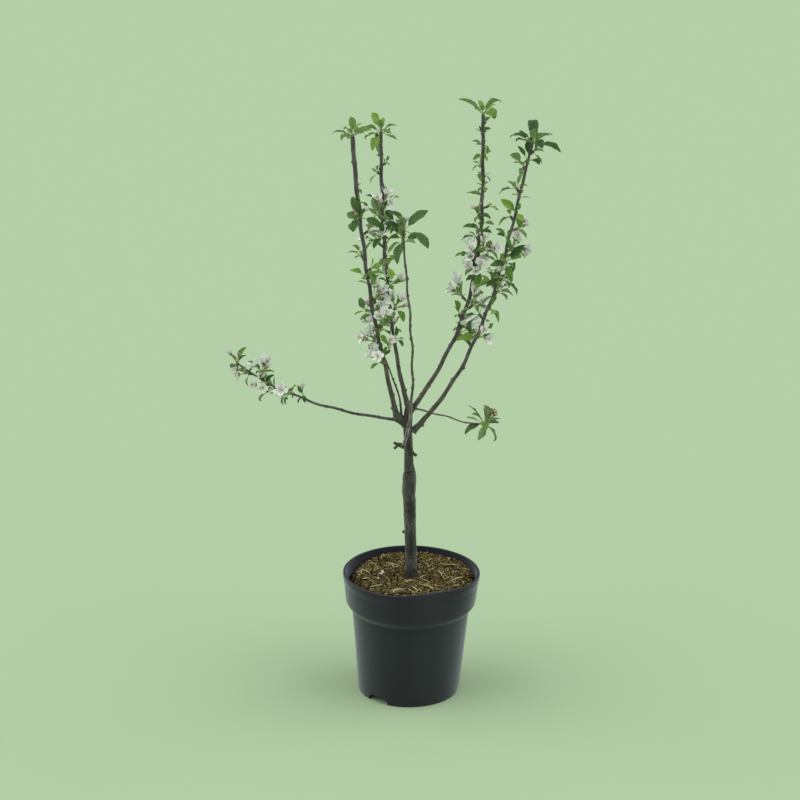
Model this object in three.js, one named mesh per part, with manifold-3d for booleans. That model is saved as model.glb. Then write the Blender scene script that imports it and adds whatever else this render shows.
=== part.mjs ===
// A young dwarf apple tree in bloom, standing in a plastic nursery pot. Millimetres, +Z up.
// The origin is on the pot's flat underside, below the trunk; +X is to the right and -Y to the
// front. The soft pot leans a little to the right, so the middle of its base is left of the origin.
import * as THREE from "three";
import { mergeVertices } from "three/addons/utils/BufferGeometryUtils.js";
import Module from "manifold-3d";

const wasm = await Module();
wasm.setup();

const CLEARANCE = 0.3; // gap between pieces that meet
const DEGREE = Math.PI / 180;
const GOLDEN_ANGLE = 137.5;
const UP = new THREE.Vector3(0, 0, 1);
const BACK = new THREE.Vector3(0, 1, 0);

// --- Pot -------------------------------------------------------------------------------
const POT_HEIGHT = 200;
const POT_SIDES = 48;
const POT_WALL = 1.8;
const LIP_RADIUS = 109.5;
const BAND_TOP_RADIUS = 107.3;
const BAND_FOOT_RADIUS = 104.2;
const BAND_FOOT_HEIGHT = 154; // the wide band under the lip starts here
const STEP_RADIUS = 93.4;
const STEP_HEIGHT = 137; // the band has drawn in to the body here
const BODY_FOOT_RADIUS = 83;
const BODY_FOOT_HEIGHT = 11;
const BASE_RADIUS = 80;
const BASE_EDGE = [[1.6, 1.2], [2.2, 4.5]]; // the base's edge rounds out and up by these
const BAND_FOOT_ROUNDING = 1.5;
const LIP_HEIGHT = 5.5; // the lip stands proud of the band from here, measured down
const LIP_ROUNDING = 1.4;
const BASE_OFFSET = -2.5; // the middle of the base, sideways
const LEAN = 4.2; // the rim stands this far to the right of the base
const RIM_FALL = 0.013; // how the rim falls to the right, as a share of the way
const RIM_NOD = 0.017; // how it falls to the front
const DENT_DEPTH = 16; // the soft rim is pushed in and flattened, to the right of the front
const DENT_HEADING = 291;
const DENT_WIDTH = 30;
const DRAIN_HEADINGS = [232, 352, 112];
const DRAIN_WIDTH = 38;
const DRAIN_HEIGHT = 11;
const DRAIN_START = 30; // from the axis, so that the middle of the underside stays flat
const DRAIN_CHAMFER = 6;

// --- Potting mix -----------------------------------------------------------------------
const SOIL_LEVEL = 190;
const SOIL_MOUND = 2.2;
const SOIL_EDGE_RADIUS = 103;
const SOIL_EDGE_DROP = 4; // the mix falls away by this at the wall
const SOIL_RINGS = [97, 72, 44];
const SOIL_FLAT_RADIUS = 15; // level round the foot of the trunk

// --- Trunk: height, sideways place and diameter of each ring, from the foot to the fork --
const TRUNK_SIDES = 18;
const TRUNK_RINGS = [
  { height: 0, x: 0.6, diameter: 22.6 },
  { height: 5, x: 0.6, diameter: 20.8 },
  { height: 14, x: 0.7, diameter: 19.6 },
  { height: 40, x: 0.7, diameter: 18.8 },
  { height: 72, x: -0.4, diameter: 18.4 },
  { height: 104, x: -0.8, diameter: 18.7 },
  { height: 128, x: -1.3, diameter: 19 },
  { height: 140, x: -2.8, diameter: 20.4 },
  { height: 154, x: -2.4, diameter: 20.8 },
  { height: 167, x: -1.9, diameter: 20.4 },
  { height: 176, x: -1.8, diameter: 18.8 },
  { height: 187, x: -2.5, diameter: 15.6 },
  { height: 198, x: -3, diameter: 14.4 },
  { height: 222, x: -3.4, diameter: 14 },
  { height: 250, x: -4.4, diameter: 14.2 },
  { height: 266, x: -4, diameter: 14 },
  { height: 280, x: -3.2, diameter: 12.6 },
  { height: 291, x: -2, diameter: 9.6 },
  { height: 295, x: -1.6, diameter: 6 },
];
const TRUNK_LUMPS = 0.035; // how far its surface swells, as a share of its radius
const BUTTRESSES = 5;
const BUTTRESS_DEPTH = 0.1; // of the root flare's buttresses, as a share of its radius
const FLARE_HEIGHT = 16;
const STUB_SIDES = 7;

// Stubs on the trunk: their roots, directions, lengths and diameters. The first is the shoulder
// that bears the limbs on the left, and the others are pruned. The second ends in two prongs.
const STUBS = [
  { height: 253, lift: 38, heading: 197, reach: 22, thick: 16, thin: 11 },
  {
    height: 219, lift: 14, heading: 197, reach: 19.5, thick: 13, thin: 6.5,
    prongs: [
      { lift: 30, heading: 195, reach: 8, thick: 5.4, thin: 4.4 },
      { lift: -33, heading: 200, reach: 8.5, thick: 5, thin: 4 },
    ],
  },
  { height: 214, lift: -35, heading: -15, reach: 15, thick: 8, thin: 5 },
  { height: 74, lift: 10, heading: 170, reach: 12, thick: 8, thin: 4.5 },
];

// --- Limbs -----------------------------------------------------------------------------
// Each limb runs from its root in the trunk to its tip. It leaves at a lift above level
// and a heading round the trunk, and arrives at another; the handles are shares of the
// straight length. Below the split it is a bare bough, and above it bears leaf and blossom.
// The bow is how far its lower part bends aside. A zone is a stretch of the limb, in shares of
// its length, with the gap between its spurs and what a spur bears: leaves of a length, and, on
// a share of the spurs that bloom, blossoms and buds. The crown is the rosette at the limb's
// tip, which turns up towards the light by its rise and opens to its spread. Each grows from
// its seed.
const LIMBS = {
  left_front: {
    root: [-19, -5, 454],
    leave: { lift: 66, heading: -165, handle: 0.18 },
    bow: 3.5,
    tip: [-86, -45, 900],
    arrive: { lift: 88, heading: -180, handle: 0.2 },
    diameters: [9, 6.6, 5.8, 5.6, 6, 6.6, 6.8],
    sway: 1,
    split: 0.2,
    crown: { seed: 6019, rise: 0, spread: 95, leaves: 7.5, leaf: 24, buds: 0 },
    zones: [
      { seed: 1573, from: 0.21, to: 0.33, gap: 15, spur: 7,
        leaves: 1.9, leaf: 20, bloom: 0.8, blossoms: 2.4, buds: 1.8 },
      { seed: 3728, from: 0.34, to: 0.47, gap: 15, spur: 7,
        leaves: 1.9, leaf: 21, bloom: 0.75, blossoms: 3, buds: 1.5 },
      { seed: 5215, from: 0.48, to: 0.6, gap: 15, spur: 7,
        leaves: 2, leaf: 23, bloom: 0.6, blossoms: 1.8, buds: 1.5 },
      { seed: 3569, from: 0.67, to: 0.75, gap: 13, spur: 5,
        leaves: 2.3, leaf: 24, bloom: 0.4, blossoms: 0.6, buds: 2 },
      { seed: 6419, from: 0.78, to: 0.85, gap: 18, spur: 2,
        leaves: 1.2, leaf: 10, bloom: 0, blossoms: 0, buds: 0 },
    ],
  },
  left_back: {
    root: [-3, 2, 470],
    leave: { lift: 55, heading: 120, handle: 0.25 },
    tip: [-46, 80, 889],
    arrive: { lift: 84, heading: 90, handle: 0.36 },
    diameters: [7.6, 6.2, 5.6, 5.4, 5.4, 5.6, 5.4],
    sway: 2,
    split: 0.22,
    crown: { seed: 2341, rise: 0, spread: 140, leaves: 9.5, leaf: 25, buds: 0 },
    zones: [
      { seed: 5664, from: 0.24, to: 0.42, gap: 16, spur: 7,
        leaves: 1.9, leaf: 21, bloom: 0.75, blossoms: 2.8, buds: 1.5 },
      { seed: 4831, from: 0.44, to: 0.59, gap: 16, spur: 7,
        leaves: 2, leaf: 24, bloom: 0.6, blossoms: 2.4, buds: 1 },
      { seed: 901, from: 0.61, to: 0.78, gap: 16, spur: 7,
        leaves: 2.1, leaf: 25, bloom: 0.5, blossoms: 1.4, buds: 1.5 },
      { seed: 301, from: 0.85, to: 0.97, gap: 14, spur: 3,
        leaves: 1.8, leaf: 13, bloom: 0, blossoms: 0, buds: 0 },
    ],
  },
  right_back: {
    root: [-2, 3, 464],
    leave: { lift: 44, heading: 35, handle: 0.46 },
    tip: [110, 70, 917],
    arrive: { lift: 84, heading: 90, handle: 0.36 },
    diameters: [7.6, 6.4, 6, 5.6, 5.6, 5.6, 5.4],
    sway: 3,
    split: 0.27,
    crown: { seed: 3775, rise: 0, spread: 75, leaves: 5, leaf: 32, buds: 0 },
    zones: [
      { seed: 1939, from: 0.28, to: 0.46, gap: 15, spur: 8,
        leaves: 1.9, leaf: 23, bloom: 0.7, blossoms: 2.8, buds: 1.8 },
      { seed: 5151, from: 0.48, to: 0.63, gap: 14, spur: 8,
        leaves: 2, leaf: 24, bloom: 0.8, blossoms: 3.4, buds: 1.4 },
      { seed: 3882, from: 0.65, to: 0.75, gap: 14, spur: 6,
        leaves: 2, leaf: 18, bloom: 0.5, blossoms: 0.4, buds: 1.6 },
      { seed: 2214, from: 0.77, to: 0.98, gap: 16, spur: 3,
        leaves: 1.9, leaf: 15, bloom: 0, blossoms: 0, buds: 0 },
    ],
  },
  right_front: {
    root: [3, -1, 434],
    leave: { lift: 48, heading: 0, handle: 0.38 },
    bow: 1.5,
    tip: [177, -50, 891],
    arrive: { lift: 74, heading: -40, handle: 0.36 },
    diameters: [8.2, 6.4, 5.4, 5, 4.6, 4.2, 3.8],
    sway: 4,
    split: 0.32,
    crown: { seed: 8849, rise: 0, spread: 90, leaves: 7.5, leaf: 31, buds: 0 },
    zones: [
      { seed: 2699, from: 0.33, to: 0.48, gap: 16, spur: 7,
        leaves: 1.9, leaf: 24, bloom: 0.7, blossoms: 1.8, buds: 1.2 },
      { seed: 8299, from: 0.5, to: 0.67, gap: 15, spur: 8,
        leaves: 2.4, leaf: 26, bloom: 0.6, blossoms: 1.8, buds: 1.4 },
      { seed: 1172, from: 0.69, to: 0.86, gap: 15, spur: 6,
        leaves: 2, leaf: 21, bloom: 0.4, blossoms: 0.8, buds: 2 },
      { seed: 8134, from: 0.91, to: 0.98, gap: 13, spur: 4,
        leaves: 2.5, leaf: 24, bloom: 0, blossoms: 0, buds: 0 },
    ],
  },
  middle: {
    root: [-12, -9, 410],
    leave: { lift: 70, heading: -34, handle: 0.32 },
    tip: [-11, -88, 768],
    arrive: { lift: 85, heading: -60, handle: 0.17 },
    diameters: [6, 4.8, 3.8, 3.5, 3.3, 3.1, 2.8],
    sway: 5.7,
    split: 0.9,
    crown: { seed: 4891, rise: 0, spread: 120, leaves: 6, leaf: 34, buds: 1 },
    zones: [
      { seed: 1716, from: 0.93, to: 0.97, gap: 12, spur: 5,
        leaves: 1.4, leaf: 30, bloom: 0, blossoms: 0, buds: 0 },
    ],
  },
  far_left: {
    root: [-8, -3, 453.2],
    leave: { lift: 5, heading: -178, handle: 0.25 },
    tip: [-266, -20, 550],
    arrive: { lift: 41, heading: -176, handle: 0.36 },
    diameters: [5, 4.4, 4.1, 3.8, 3.5, 3.1, 2.6],
    sway: 6,
    split: 0.53,
    crown: { seed: 9917, rise: 2.2, spread: 150, leaves: 3.4, leaf: 25, buds: 1.5 },
    zones: [
      { seed: 5631, from: 0.56, to: 0.7, gap: 16, spur: 6,
        leaves: 1.6, leaf: 17, bloom: 0.6, blossoms: 0.7, buds: 1.5 },
      { seed: 16854, from: 0.72, to: 0.93, gap: 16, spur: 6,
        leaves: 1.9, leaf: 23, bloom: 0.8, blossoms: 2.4, buds: 0.8 },
    ],
  },
  far_right: {
    root: [0, 4, 470],
    leave: { lift: -5, heading: 26, handle: 0.2 },
    tip: [118, 62, 427],
    arrive: { lift: -8, heading: 26, handle: 0.36 },
    diameters: [2.8, 2.4, 2.3, 2.2, 2.2, 2.1, 2],
    sway: 7,
    split: 0.88,
    crown: { seed: 5486, rise: 2.2, spread: 130, leaves: 9.5, leaf: 28, buds: 6 },
    zones: [],
  },
  inner_left: {
    root: [-13.5, 0, 452.5],
    leave: { lift: 84, heading: 166, handle: 0.7 },
    tip: [-46, 38, 565],
    arrive: { lift: 68, heading: 126, handle: 0.55 },
    diameters: [3.6, 3.2, 3, 2.8, 2.7, 2.6, 2.4],
    sway: 8,
    split: 0.74,
    crown: { seed: 9743, rise: 0, spread: 90, leaves: 4, leaf: 19, buds: 2 },
    zones: [],
  },
};
const WAVE_HEIGHT = 1.1; // a limb sways this far from its smooth line
const WAVE_LENGTH = 62;
const BOW_SPAN = 0.36; // the lower share of a limb that bows to the right
const RING_STEP = 22; // between the rings of a limb
const BOUGH_SIDES = 7;
const STEM_SIDES = 5;

// --- What a spur bears -----------------------------------------------------------------
const SPUR_DIAMETER = 3;
const SPUR_SIDES = 3;
const PETALS = 5;
const KNUCKLE_DIAMETER = 5.2; // a spur swells at its end, where its leaves and stalks root
const SPUR_LIFT = [25, 65]; // from square to the limb, towards its tip
const SPUR_REACH = [0.6, 1.4];
const HEADING_JITTER = 30;
const PETIOLE_SHARE = [0.25, 0.5]; // of the blade's length
const LEAF_WIDTH = [0.38, 0.56]; // of the blade's length
const LEAF_SIZE = [0.72, 1.2];
const LEAF_SPLAY = [32, 88];
const LEAF_CURL = [10, 75];
const LEAF_FOLD = [12, 40];
const LEAF_ROLL = [-25, 25];
const LEAF_LIGHT = 0.5; // how strongly a leaf's upper side turns up to the light
const LEAF_THICKNESS = 0.6;
const LEAF_OUTLINE = [[0, 0.12], [0.42, 1], [1, 0]]; // shares of length and of width
const PETIOLE_DIAMETER = 1.6;
const CROWN_SPLAY = 14; // of a crown's innermost leaf; the outermost has its spread
const PEDICEL_LENGTH = [13, 22];
const PEDICEL_SPLAY = [8, 55];
const PEDICEL_DIAMETER = 1.6;
const PEDICEL_LIGHT = 0.15;
const BLOSSOM_RADIUS = [10, 13];
const BLOSSOM_CUP = 0.42; // depth of the open cup, as a share of its radius
const BLOSSOM_THICKNESS = 1.4;
const BLOSSOM_GAP = 0.75; // between two blossoms' middles, as a share of their radii
const LEAF_GAP = 0.15; // between the middles of two blades, as a share of their lengths
const PETAL_NOTCH = 0.74; // between two petals, as a share of the blossom's radius
const BUD_LENGTH = [6, 9];
const BUD_GIRTH = 0.36;
const BUD_BELLY = 0.45; // where a bud is widest, as a share of its length
const SPACE_MARGIN = 3; // how much nearer its own limb than any other a leaf keeps
const BOUGH_MARGIN = 5.5; // how far it keeps from its own bough below the split
const REACH = 52; // the furthest that anything stands out from its limb
const LIMB_SAMPLES = 60; // along a limb, where distances to it are measured

// --- Solids ----------------------------------------------------------------------------

/** A closed three.js geometry as a solid whose faces point out. */
function solid(geometry) {
  const bare = geometry.clone();
  bare.deleteAttribute("normal");
  bare.deleteAttribute("uv");
  const merged = mergeVertices(bare, 1e-4);
  const corners = merged.index.array;
  const faces = [];
  for (let i = 0; i < corners.length; i += 3) {
    const [a, b, c] = corners.subarray(i, i + 3);
    if (a !== b && b !== c && c !== a) faces.push(a, b, c);
  }
  const vertProperties = new Float32Array(merged.attributes.position.array);
  const make = (list) =>
    new wasm.Manifold(
      new wasm.Mesh({ numProp: 3, vertProperties, triVerts: new Uint32Array(list) }),
    );
  const made = make(faces);
  return made.volume() < 0 ? make(faces.reverse()) : made;
}

/** A solid's one large body, without loose scraps or sealed hollows. */
function largestBody(made) {
  return made
    .decompose()
    .reduce((best, body) => (body.volume() > best.volume() ? body : best));
}

/** A closed skin over sections of points. A section may have fewer points than its neighbour. */
function skin(sections) {
  const faces = [];
  let start = 0;
  for (let i = 0; i + 1 < sections.length; i++) {
    const lower = sections[i].length;
    const upper = sections[i + 1].length;
    const sides = Math.max(lower, upper);
    for (let k = 0; k < sides; k++) {
      const next = (k + 1) % sides;
      const a = start + Math.floor((k * lower) / sides);
      const b = start + Math.floor((next * lower) / sides);
      const c = start + lower + Math.floor((k * upper) / sides);
      const d = start + lower + Math.floor((next * upper) / sides);
      if (a !== b) faces.push(a, b, c);
      if (c !== d) faces.push(b, d, c);
    }
    start += lower;
  }
  const first = sections[0].length;
  for (let k = 1; k + 1 < first; k++) faces.push(0, k + 1, k);
  const last = sections.at(-1).length;
  for (let k = 1; k + 1 < last; k++) faces.push(start, start + k, start + k + 1);
  const geometry = new THREE.BufferGeometry();
  geometry.setFromPoints(sections.flat());
  geometry.setIndex(faces);
  return geometry;
}

/** A ring of points round a middle, on two half axes. */
function ring(middle, across, up, sides) {
  return Array.from({ length: sides }, (_, k) => {
    const angle = (2 * Math.PI * k) / sides;
    return middle
      .clone()
      .addScaledVector(across, Math.cos(angle))
      .addScaledVector(up, Math.sin(angle));
  });
}

/** A straight tapering rod. */
function rod(from, to, thick, thin, sides) {
  const along = to.clone().sub(from).normalize();
  const across = squareTo(along);
  const up = new THREE.Vector3().crossVectors(along, across);
  const end = (middle, diameter) =>
    ring(
      middle,
      across.clone().multiplyScalar(diameter / 2),
      up.clone().multiplyScalar(diameter / 2),
      sides,
    );
  return skin([end(from, thick), end(to, thin)]);
}

/** A level direction square to another, or nearly level where that one is level too. */
function squareTo(along) {
  const reference = Math.abs(along.y) > 0.95 ? UP : BACK;
  return new THREE.Vector3().crossVectors(along, reference).normalize();
}

/** The direction at a lift above level and a heading round +Z from +X. */
function direction(lift, heading) {
  const level = Math.cos(lift * DEGREE);
  return new THREE.Vector3(
    level * Math.cos(heading * DEGREE),
    level * Math.sin(heading * DEGREE),
    Math.sin(lift * DEGREE),
  );
}

/** The value at a share from 0 to 1 of an even list. */
function along(values, share) {
  const place = THREE.MathUtils.clamp(share, 0, 1) * (values.length - 1);
  const before = Math.min(Math.floor(place), values.length - 2);
  return THREE.MathUtils.lerp(values[before], values[before + 1], place - before);
}

// --- Pot and potting mix ---------------------------------------------------------------

/** Leans a solid of the soft pot to the right, tilts its rim and pushes its dented side in. */
function settle(made) {
  return made.warp((point) => {
    const [x, y, z] = point;
    const share = z / POT_HEIGHT;
    const off = (Math.atan2(y, x) / DEGREE - DENT_HEADING + 540) % 360;
    const across = Math.exp(-(((off - 180) / DENT_WIDTH) ** 2));
    const rise = THREE.MathUtils.clamp((z - STEP_HEIGHT) / (POT_HEIGHT - STEP_HEIGHT), 0, 1);
    const radius = Math.hypot(x, y) || 1;
    const pushed = 1 - (DENT_DEPTH * across * rise * Math.min(1, radius / STEP_RADIUS)) / radius;
    point[0] = x * pushed + BASE_OFFSET + LEAN * share;
    point[1] = y * pushed;
    point[2] = z + (RIM_NOD * y - RIM_FALL * x) * share;
  });
}

/** A solid of revolution round +Z from [radius, height] pairs that start and end at the axis. */
function turned(profile) {
  const points = profile.map(([radius, height]) => new THREE.Vector2(radius, height));
  return new THREE.LatheGeometry(points, POT_SIDES).rotateX(Math.PI / 2);
}

/** The outline of the pot's inner space, drawn in from its wall by a margin, up to the band. */
function innerOutline(margin) {
  const inset = POT_WALL + margin;
  return [
    [0, inset],
    [BASE_RADIUS - inset - 2, inset],
    [BODY_FOOT_RADIUS - inset, BODY_FOOT_HEIGHT + 1],
    [STEP_RADIUS - inset, STEP_HEIGHT + 1],
    [BAND_FOOT_RADIUS - inset, BAND_FOOT_HEIGHT + 1],
  ];
}

/** The three raised drains under the floor, widened by a margin. */
function drains(margin) {
  const half = DRAIN_WIDTH / 2 + margin;
  const top = DRAIN_HEIGHT + margin;
  const outline = new THREE.Shape([
    new THREE.Vector2(-half, -1),
    new THREE.Vector2(half, -1),
    new THREE.Vector2(half, top - DRAIN_CHAMFER),
    new THREE.Vector2(half - DRAIN_CHAMFER, top),
    new THREE.Vector2(DRAIN_CHAMFER - half, top),
    new THREE.Vector2(-half, top - DRAIN_CHAMFER),
  ]);
  const start = DRAIN_START - margin;
  const length = LIP_RADIUS - start;
  return DRAIN_HEADINGS.map((heading) =>
    solid(
      new THREE.ExtrudeGeometry(outline, { depth: length, bevelEnabled: false })
        .translate(0, 0, start)
        .rotateX(Math.PI / 2)
        .rotateZ((heading + 90) * DEGREE),
    ),
  );
}

function buildPot() {
  const outside = turned([
    [0, 0],
    [BASE_RADIUS, 0],
    ...BASE_EDGE.map(([out, up]) => [BASE_RADIUS + out, up]),
    [BODY_FOOT_RADIUS, BODY_FOOT_HEIGHT],
    [STEP_RADIUS, STEP_HEIGHT],
    [BAND_FOOT_RADIUS - BAND_FOOT_ROUNDING, BAND_FOOT_HEIGHT - 3 * BAND_FOOT_ROUNDING],
    [BAND_FOOT_RADIUS, BAND_FOOT_HEIGHT],
    [BAND_TOP_RADIUS, POT_HEIGHT - LIP_HEIGHT - LIP_ROUNDING],
    [LIP_RADIUS, POT_HEIGHT - LIP_HEIGHT],
    [LIP_RADIUS, POT_HEIGHT - LIP_ROUNDING],
    [LIP_RADIUS - LIP_ROUNDING, POT_HEIGHT],
    [0, POT_HEIGHT],
  ]);
  const mouth = POT_HEIGHT + 1;
  let inside = solid(turned([...innerOutline(0), [BAND_TOP_RADIUS - POT_WALL, mouth], [0, mouth]]));
  for (const drain of drains(POT_WALL)) inside = inside.subtract(drain);
  let pot = solid(outside).subtract(inside);
  for (const drain of drains(0)) pot = pot.subtract(drain);
  return largestBody(settle(pot));
}

function buildPottingMix() {
  const mound = SOIL_RINGS.map((radius, i) => {
    const rise = SOIL_MOUND * Math.sin((Math.PI * (i + 0.5)) / SOIL_RINGS.length);
    return [radius, SOIL_LEVEL + rise];
  });
  const filling = turned([
    ...innerOutline(CLEARANCE),
    [SOIL_EDGE_RADIUS, SOIL_LEVEL - SOIL_EDGE_DROP],
    ...mound,
    [SOIL_FLAT_RADIUS, SOIL_LEVEL],
    [0, SOIL_LEVEL],
  ]);
  let mix = solid(filling);
  for (const drain of drains(POT_WALL + CLEARANCE)) mix = mix.subtract(drain);
  return largestBody(settle(mix));
}

// --- Trunk -----------------------------------------------------------------------------

/** The trunk's middle at a height above the potting mix. */
function trunkMiddle(height) {
  const above = TRUNK_RINGS.findIndex((row) => row.height >= height);
  const upper = TRUNK_RINGS[Math.max(above, 1)];
  const lower = TRUNK_RINGS[Math.max(above, 1) - 1];
  const share = (height - lower.height) / (upper.height - lower.height);
  const x = THREE.MathUtils.lerp(lower.x, upper.x, share);
  return new THREE.Vector3(x, 0, SOIL_LEVEL + CLEARANCE + height);
}

/** A stub with any prongs at its end, grown by a margin all round. */
function stubSolids(from, { lift, heading, reach, thick, thin, prongs = [] }, margin) {
  const to = from.clone().addScaledVector(direction(lift, heading), reach);
  const end = to.clone().addScaledVector(direction(lift, heading), margin);
  return [
    solid(rod(from, end, thick + 2 * margin, thin + 2 * margin, STUB_SIDES)),
    ...prongs.flatMap((prong) => stubSolids(to, prong, margin)),
  ];
}

/** The trunk with its stubs, grown by a margin all round. */
function buildTrunk(margin) {
  const rings = TRUNK_RINGS.map(({ height, diameter }) => {
    const middle = trunkMiddle(height);
    const flare = THREE.MathUtils.clamp(1 - height / FLARE_HEIGHT, 0, 1);
    return ring(middle, new THREE.Vector3(1, 0, 0), BACK, TRUNK_SIDES).map((point, k) => {
      const angle = (2 * Math.PI * k) / TRUNK_SIDES;
      const lump = Math.sin(3 * angle + height / 23) + 0.7 * Math.sin(2 * angle - height / 31);
      const buttress = BUTTRESS_DEPTH * flare * Math.sin(BUTTRESSES * angle + 1);
      const radius = (diameter / 2) * (1 + TRUNK_LUMPS * lump + buttress) + margin;
      return point.sub(middle).multiplyScalar(radius).add(middle);
    });
  });
  const parts = [solid(skin(rings))];
  for (const stub of STUBS) parts.push(...stubSolids(trunkMiddle(stub.height), stub, margin));
  return largestBody(wasm.Manifold.union(parts));
}

// --- Limbs -----------------------------------------------------------------------------

/** A limb's curve, with its middle, directions and diameter at a share of its length. */
function limbPath({ root, leave, tip, arrive, diameters, sway: start, bow = 0 }) {
  const from = new THREE.Vector3(...root);
  const to = new THREE.Vector3(...tip);
  const straight = from.distanceTo(to);
  const out = direction(leave.lift, leave.heading).multiplyScalar(leave.handle * straight);
  const back = direction(arrive.lift, arrive.heading).multiplyScalar(-arrive.handle * straight);
  const curve = new THREE.CubicBezierCurve3(from, from.clone().add(out), to.clone().add(back), to);
  const length = curve.getLength();
  const at = (share) => {
    const forward = curve.getTangentAt(share);
    const side = squareTo(forward);
    const front = new THREE.Vector3().crossVectors(forward, side);
    const phase = (2 * Math.PI * share * length) / WAVE_LENGTH + start;
    const sway = WAVE_HEIGHT * Math.sin(Math.PI * share);
    const middle = curve
      .getPointAt(share)
      .addScaledVector(side, sway * Math.sin(phase))
      .addScaledVector(front, sway * Math.cos(0.7 * phase));
    middle.x += bow * Math.sin(Math.PI * Math.min(1, share / BOW_SPAN));
    return { middle, forward, side, front, diameter: along(diameters, share) };
  };
  const samples = Array.from({ length: LIMB_SAMPLES + 1 }, (_, k) => {
    const share = k / LIMB_SAMPLES;
    return { share, middle: at(share).middle };
  });
  return { at, length, samples };
}

/** A stretch of a limb as a closed rod, grown by a margin all round. */
function limbStretch(path, start, end, sides, margin) {
  const steps = Math.max(2, Math.ceil(((end - start) * path.length) / RING_STEP));
  const rings = Array.from({ length: steps + 1 }, (_, k) => {
    const { middle, side, front, diameter } = path.at(start + ((end - start) * k) / steps);
    const radius = diameter / 2 + margin;
    return ring(middle, side.multiplyScalar(radius), front.multiplyScalar(radius), sides);
  });
  return solid(skin(rings));
}

// --- Growth ----------------------------------------------------------------------------

/** A seeded source of even random numbers from 0 to 1. */
function randomFrom(seed) {
  let state = seed;
  const draw = () => {
    state = (Math.imul(state, 1664525) + 1013904223) >>> 0;
    return state / 2 ** 32;
  };
  for (let warm = 0; warm < 8; warm++) draw();
  return draw;
}

const between = (draw, [low, high]) => low + (high - low) * draw();
const countOf = (draw, mean) => Math.floor(mean + draw());

/** The distance from a point to the nearest of a limb's samples. */
function distanceTo(samples, point) {
  return Math.min(...samples.map(({ middle }) => middle.distanceTo(point)));
}

/** Whether points keep to a limb's own space, clear of its bough and of all other limbs. */
function keepsToSpace(points, name, paths) {
  const { samples } = paths[name];
  const bough = samples.filter(({ share }) => share < LIMBS[name].split);
  return points.every((point) => {
    const own = distanceTo(samples, point);
    const fromOthers = Object.keys(paths).every(
      (other) => other === name || distanceTo(paths[other].samples, point) > own + SPACE_MARGIN,
    );
    return own < REACH && fromOthers && distanceTo(bough, point) > BOUGH_MARGIN;
  });
}

/** A leaf's middle line and edges: its root, a direction, an upper side and its bends. */
function leafShape({ root, forward, upper, petiole, length, width, curl, fold }) {
  const across = new THREE.Vector3().crossVectors(forward, upper);
  const station = (share, halfWidth) => {
    const bend = curl * DEGREE * share;
    const run = bend > 0.01 ? (length * Math.sin(bend)) / (curl * DEGREE) : length * share;
    const fall = bend > 0.01 ? (length * (1 - Math.cos(bend))) / (curl * DEGREE) : 0;
    const middle = root
      .clone()
      .addScaledVector(forward, petiole + run)
      .addScaledVector(upper, -fall);
    const lift = upper
      .clone()
      .multiplyScalar(Math.cos(bend))
      .addScaledVector(forward, Math.sin(bend));
    const edge = (sign) =>
      middle
        .clone()
        .addScaledVector(across, sign * halfWidth * Math.cos(fold * DEGREE))
        .addScaledVector(lift, halfWidth * Math.sin(fold * DEGREE));
    return { middle, lift, left: edge(-1), right: edge(1) };
  };
  return LEAF_OUTLINE.map(([share, widthShare]) => station(share, (widthShare * width) / 2));
}

/** Draws one leaf that splays from an axis, and keeps it where it stays in its space. */
function addLeaf(growth, draw, root, axis, turn, splay, size) {
  const length = size * between(draw, LEAF_SIZE);
  const petiole = length * between(draw, PETIOLE_SHARE);
  const width = length * between(draw, LEAF_WIDTH);
  const curl = between(draw, LEAF_CURL);
  const fold = between(draw, LEAF_FOLD);
  const roll = between(draw, LEAF_ROLL);
  const side = squareTo(axis);
  const front = new THREE.Vector3().crossVectors(axis, side);
  const out = side
    .multiplyScalar(Math.cos(turn * DEGREE))
    .addScaledVector(front, Math.sin(turn * DEGREE));
  const forward = axis
    .clone()
    .multiplyScalar(Math.cos(splay * DEGREE))
    .addScaledVector(out, Math.sin(splay * DEGREE));
  const upper = axis
    .clone()
    .multiplyScalar(Math.sin(splay * DEGREE))
    .addScaledVector(out, -Math.cos(splay * DEGREE))
    .addScaledVector(UP, LEAF_LIGHT);
  upper.addScaledVector(forward, -upper.dot(forward)).normalize();
  upper.applyAxisAngle(forward, roll * DEGREE);
  const leaf = { root, forward, upper, petiole, length, width, curl, fold };
  const outline = leafShape(leaf).flatMap(({ left, middle, right }) => [left, middle, right]);
  const middle = root.clone().addScaledVector(forward, petiole + length / 2);
  const crowded = growth.leaves.some(
    (other) => other.middle.distanceTo(middle) < LEAF_GAP * (other.length + length),
  );
  if (!crowded && growth.fits(outline)) growth.leaves.push({ ...leaf, middle });
}

/** Draws one stalk that splays from an axis, for a blossom or a bud. */
function stalkFrom(draw, root, axis, turn) {
  const splay = between(draw, PEDICEL_SPLAY);
  const length = between(draw, PEDICEL_LENGTH);
  const side = squareTo(axis);
  const front = new THREE.Vector3().crossVectors(axis, side);
  const forward = axis
    .clone()
    .multiplyScalar(Math.cos(splay * DEGREE))
    .addScaledVector(side, Math.sin(splay * DEGREE) * Math.cos(turn * DEGREE))
    .addScaledVector(front, Math.sin(splay * DEGREE) * Math.sin(turn * DEGREE))
    .addScaledVector(UP, PEDICEL_LIGHT)
    .normalize();
  return { forward, end: root.clone().addScaledVector(forward, length) };
}

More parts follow.
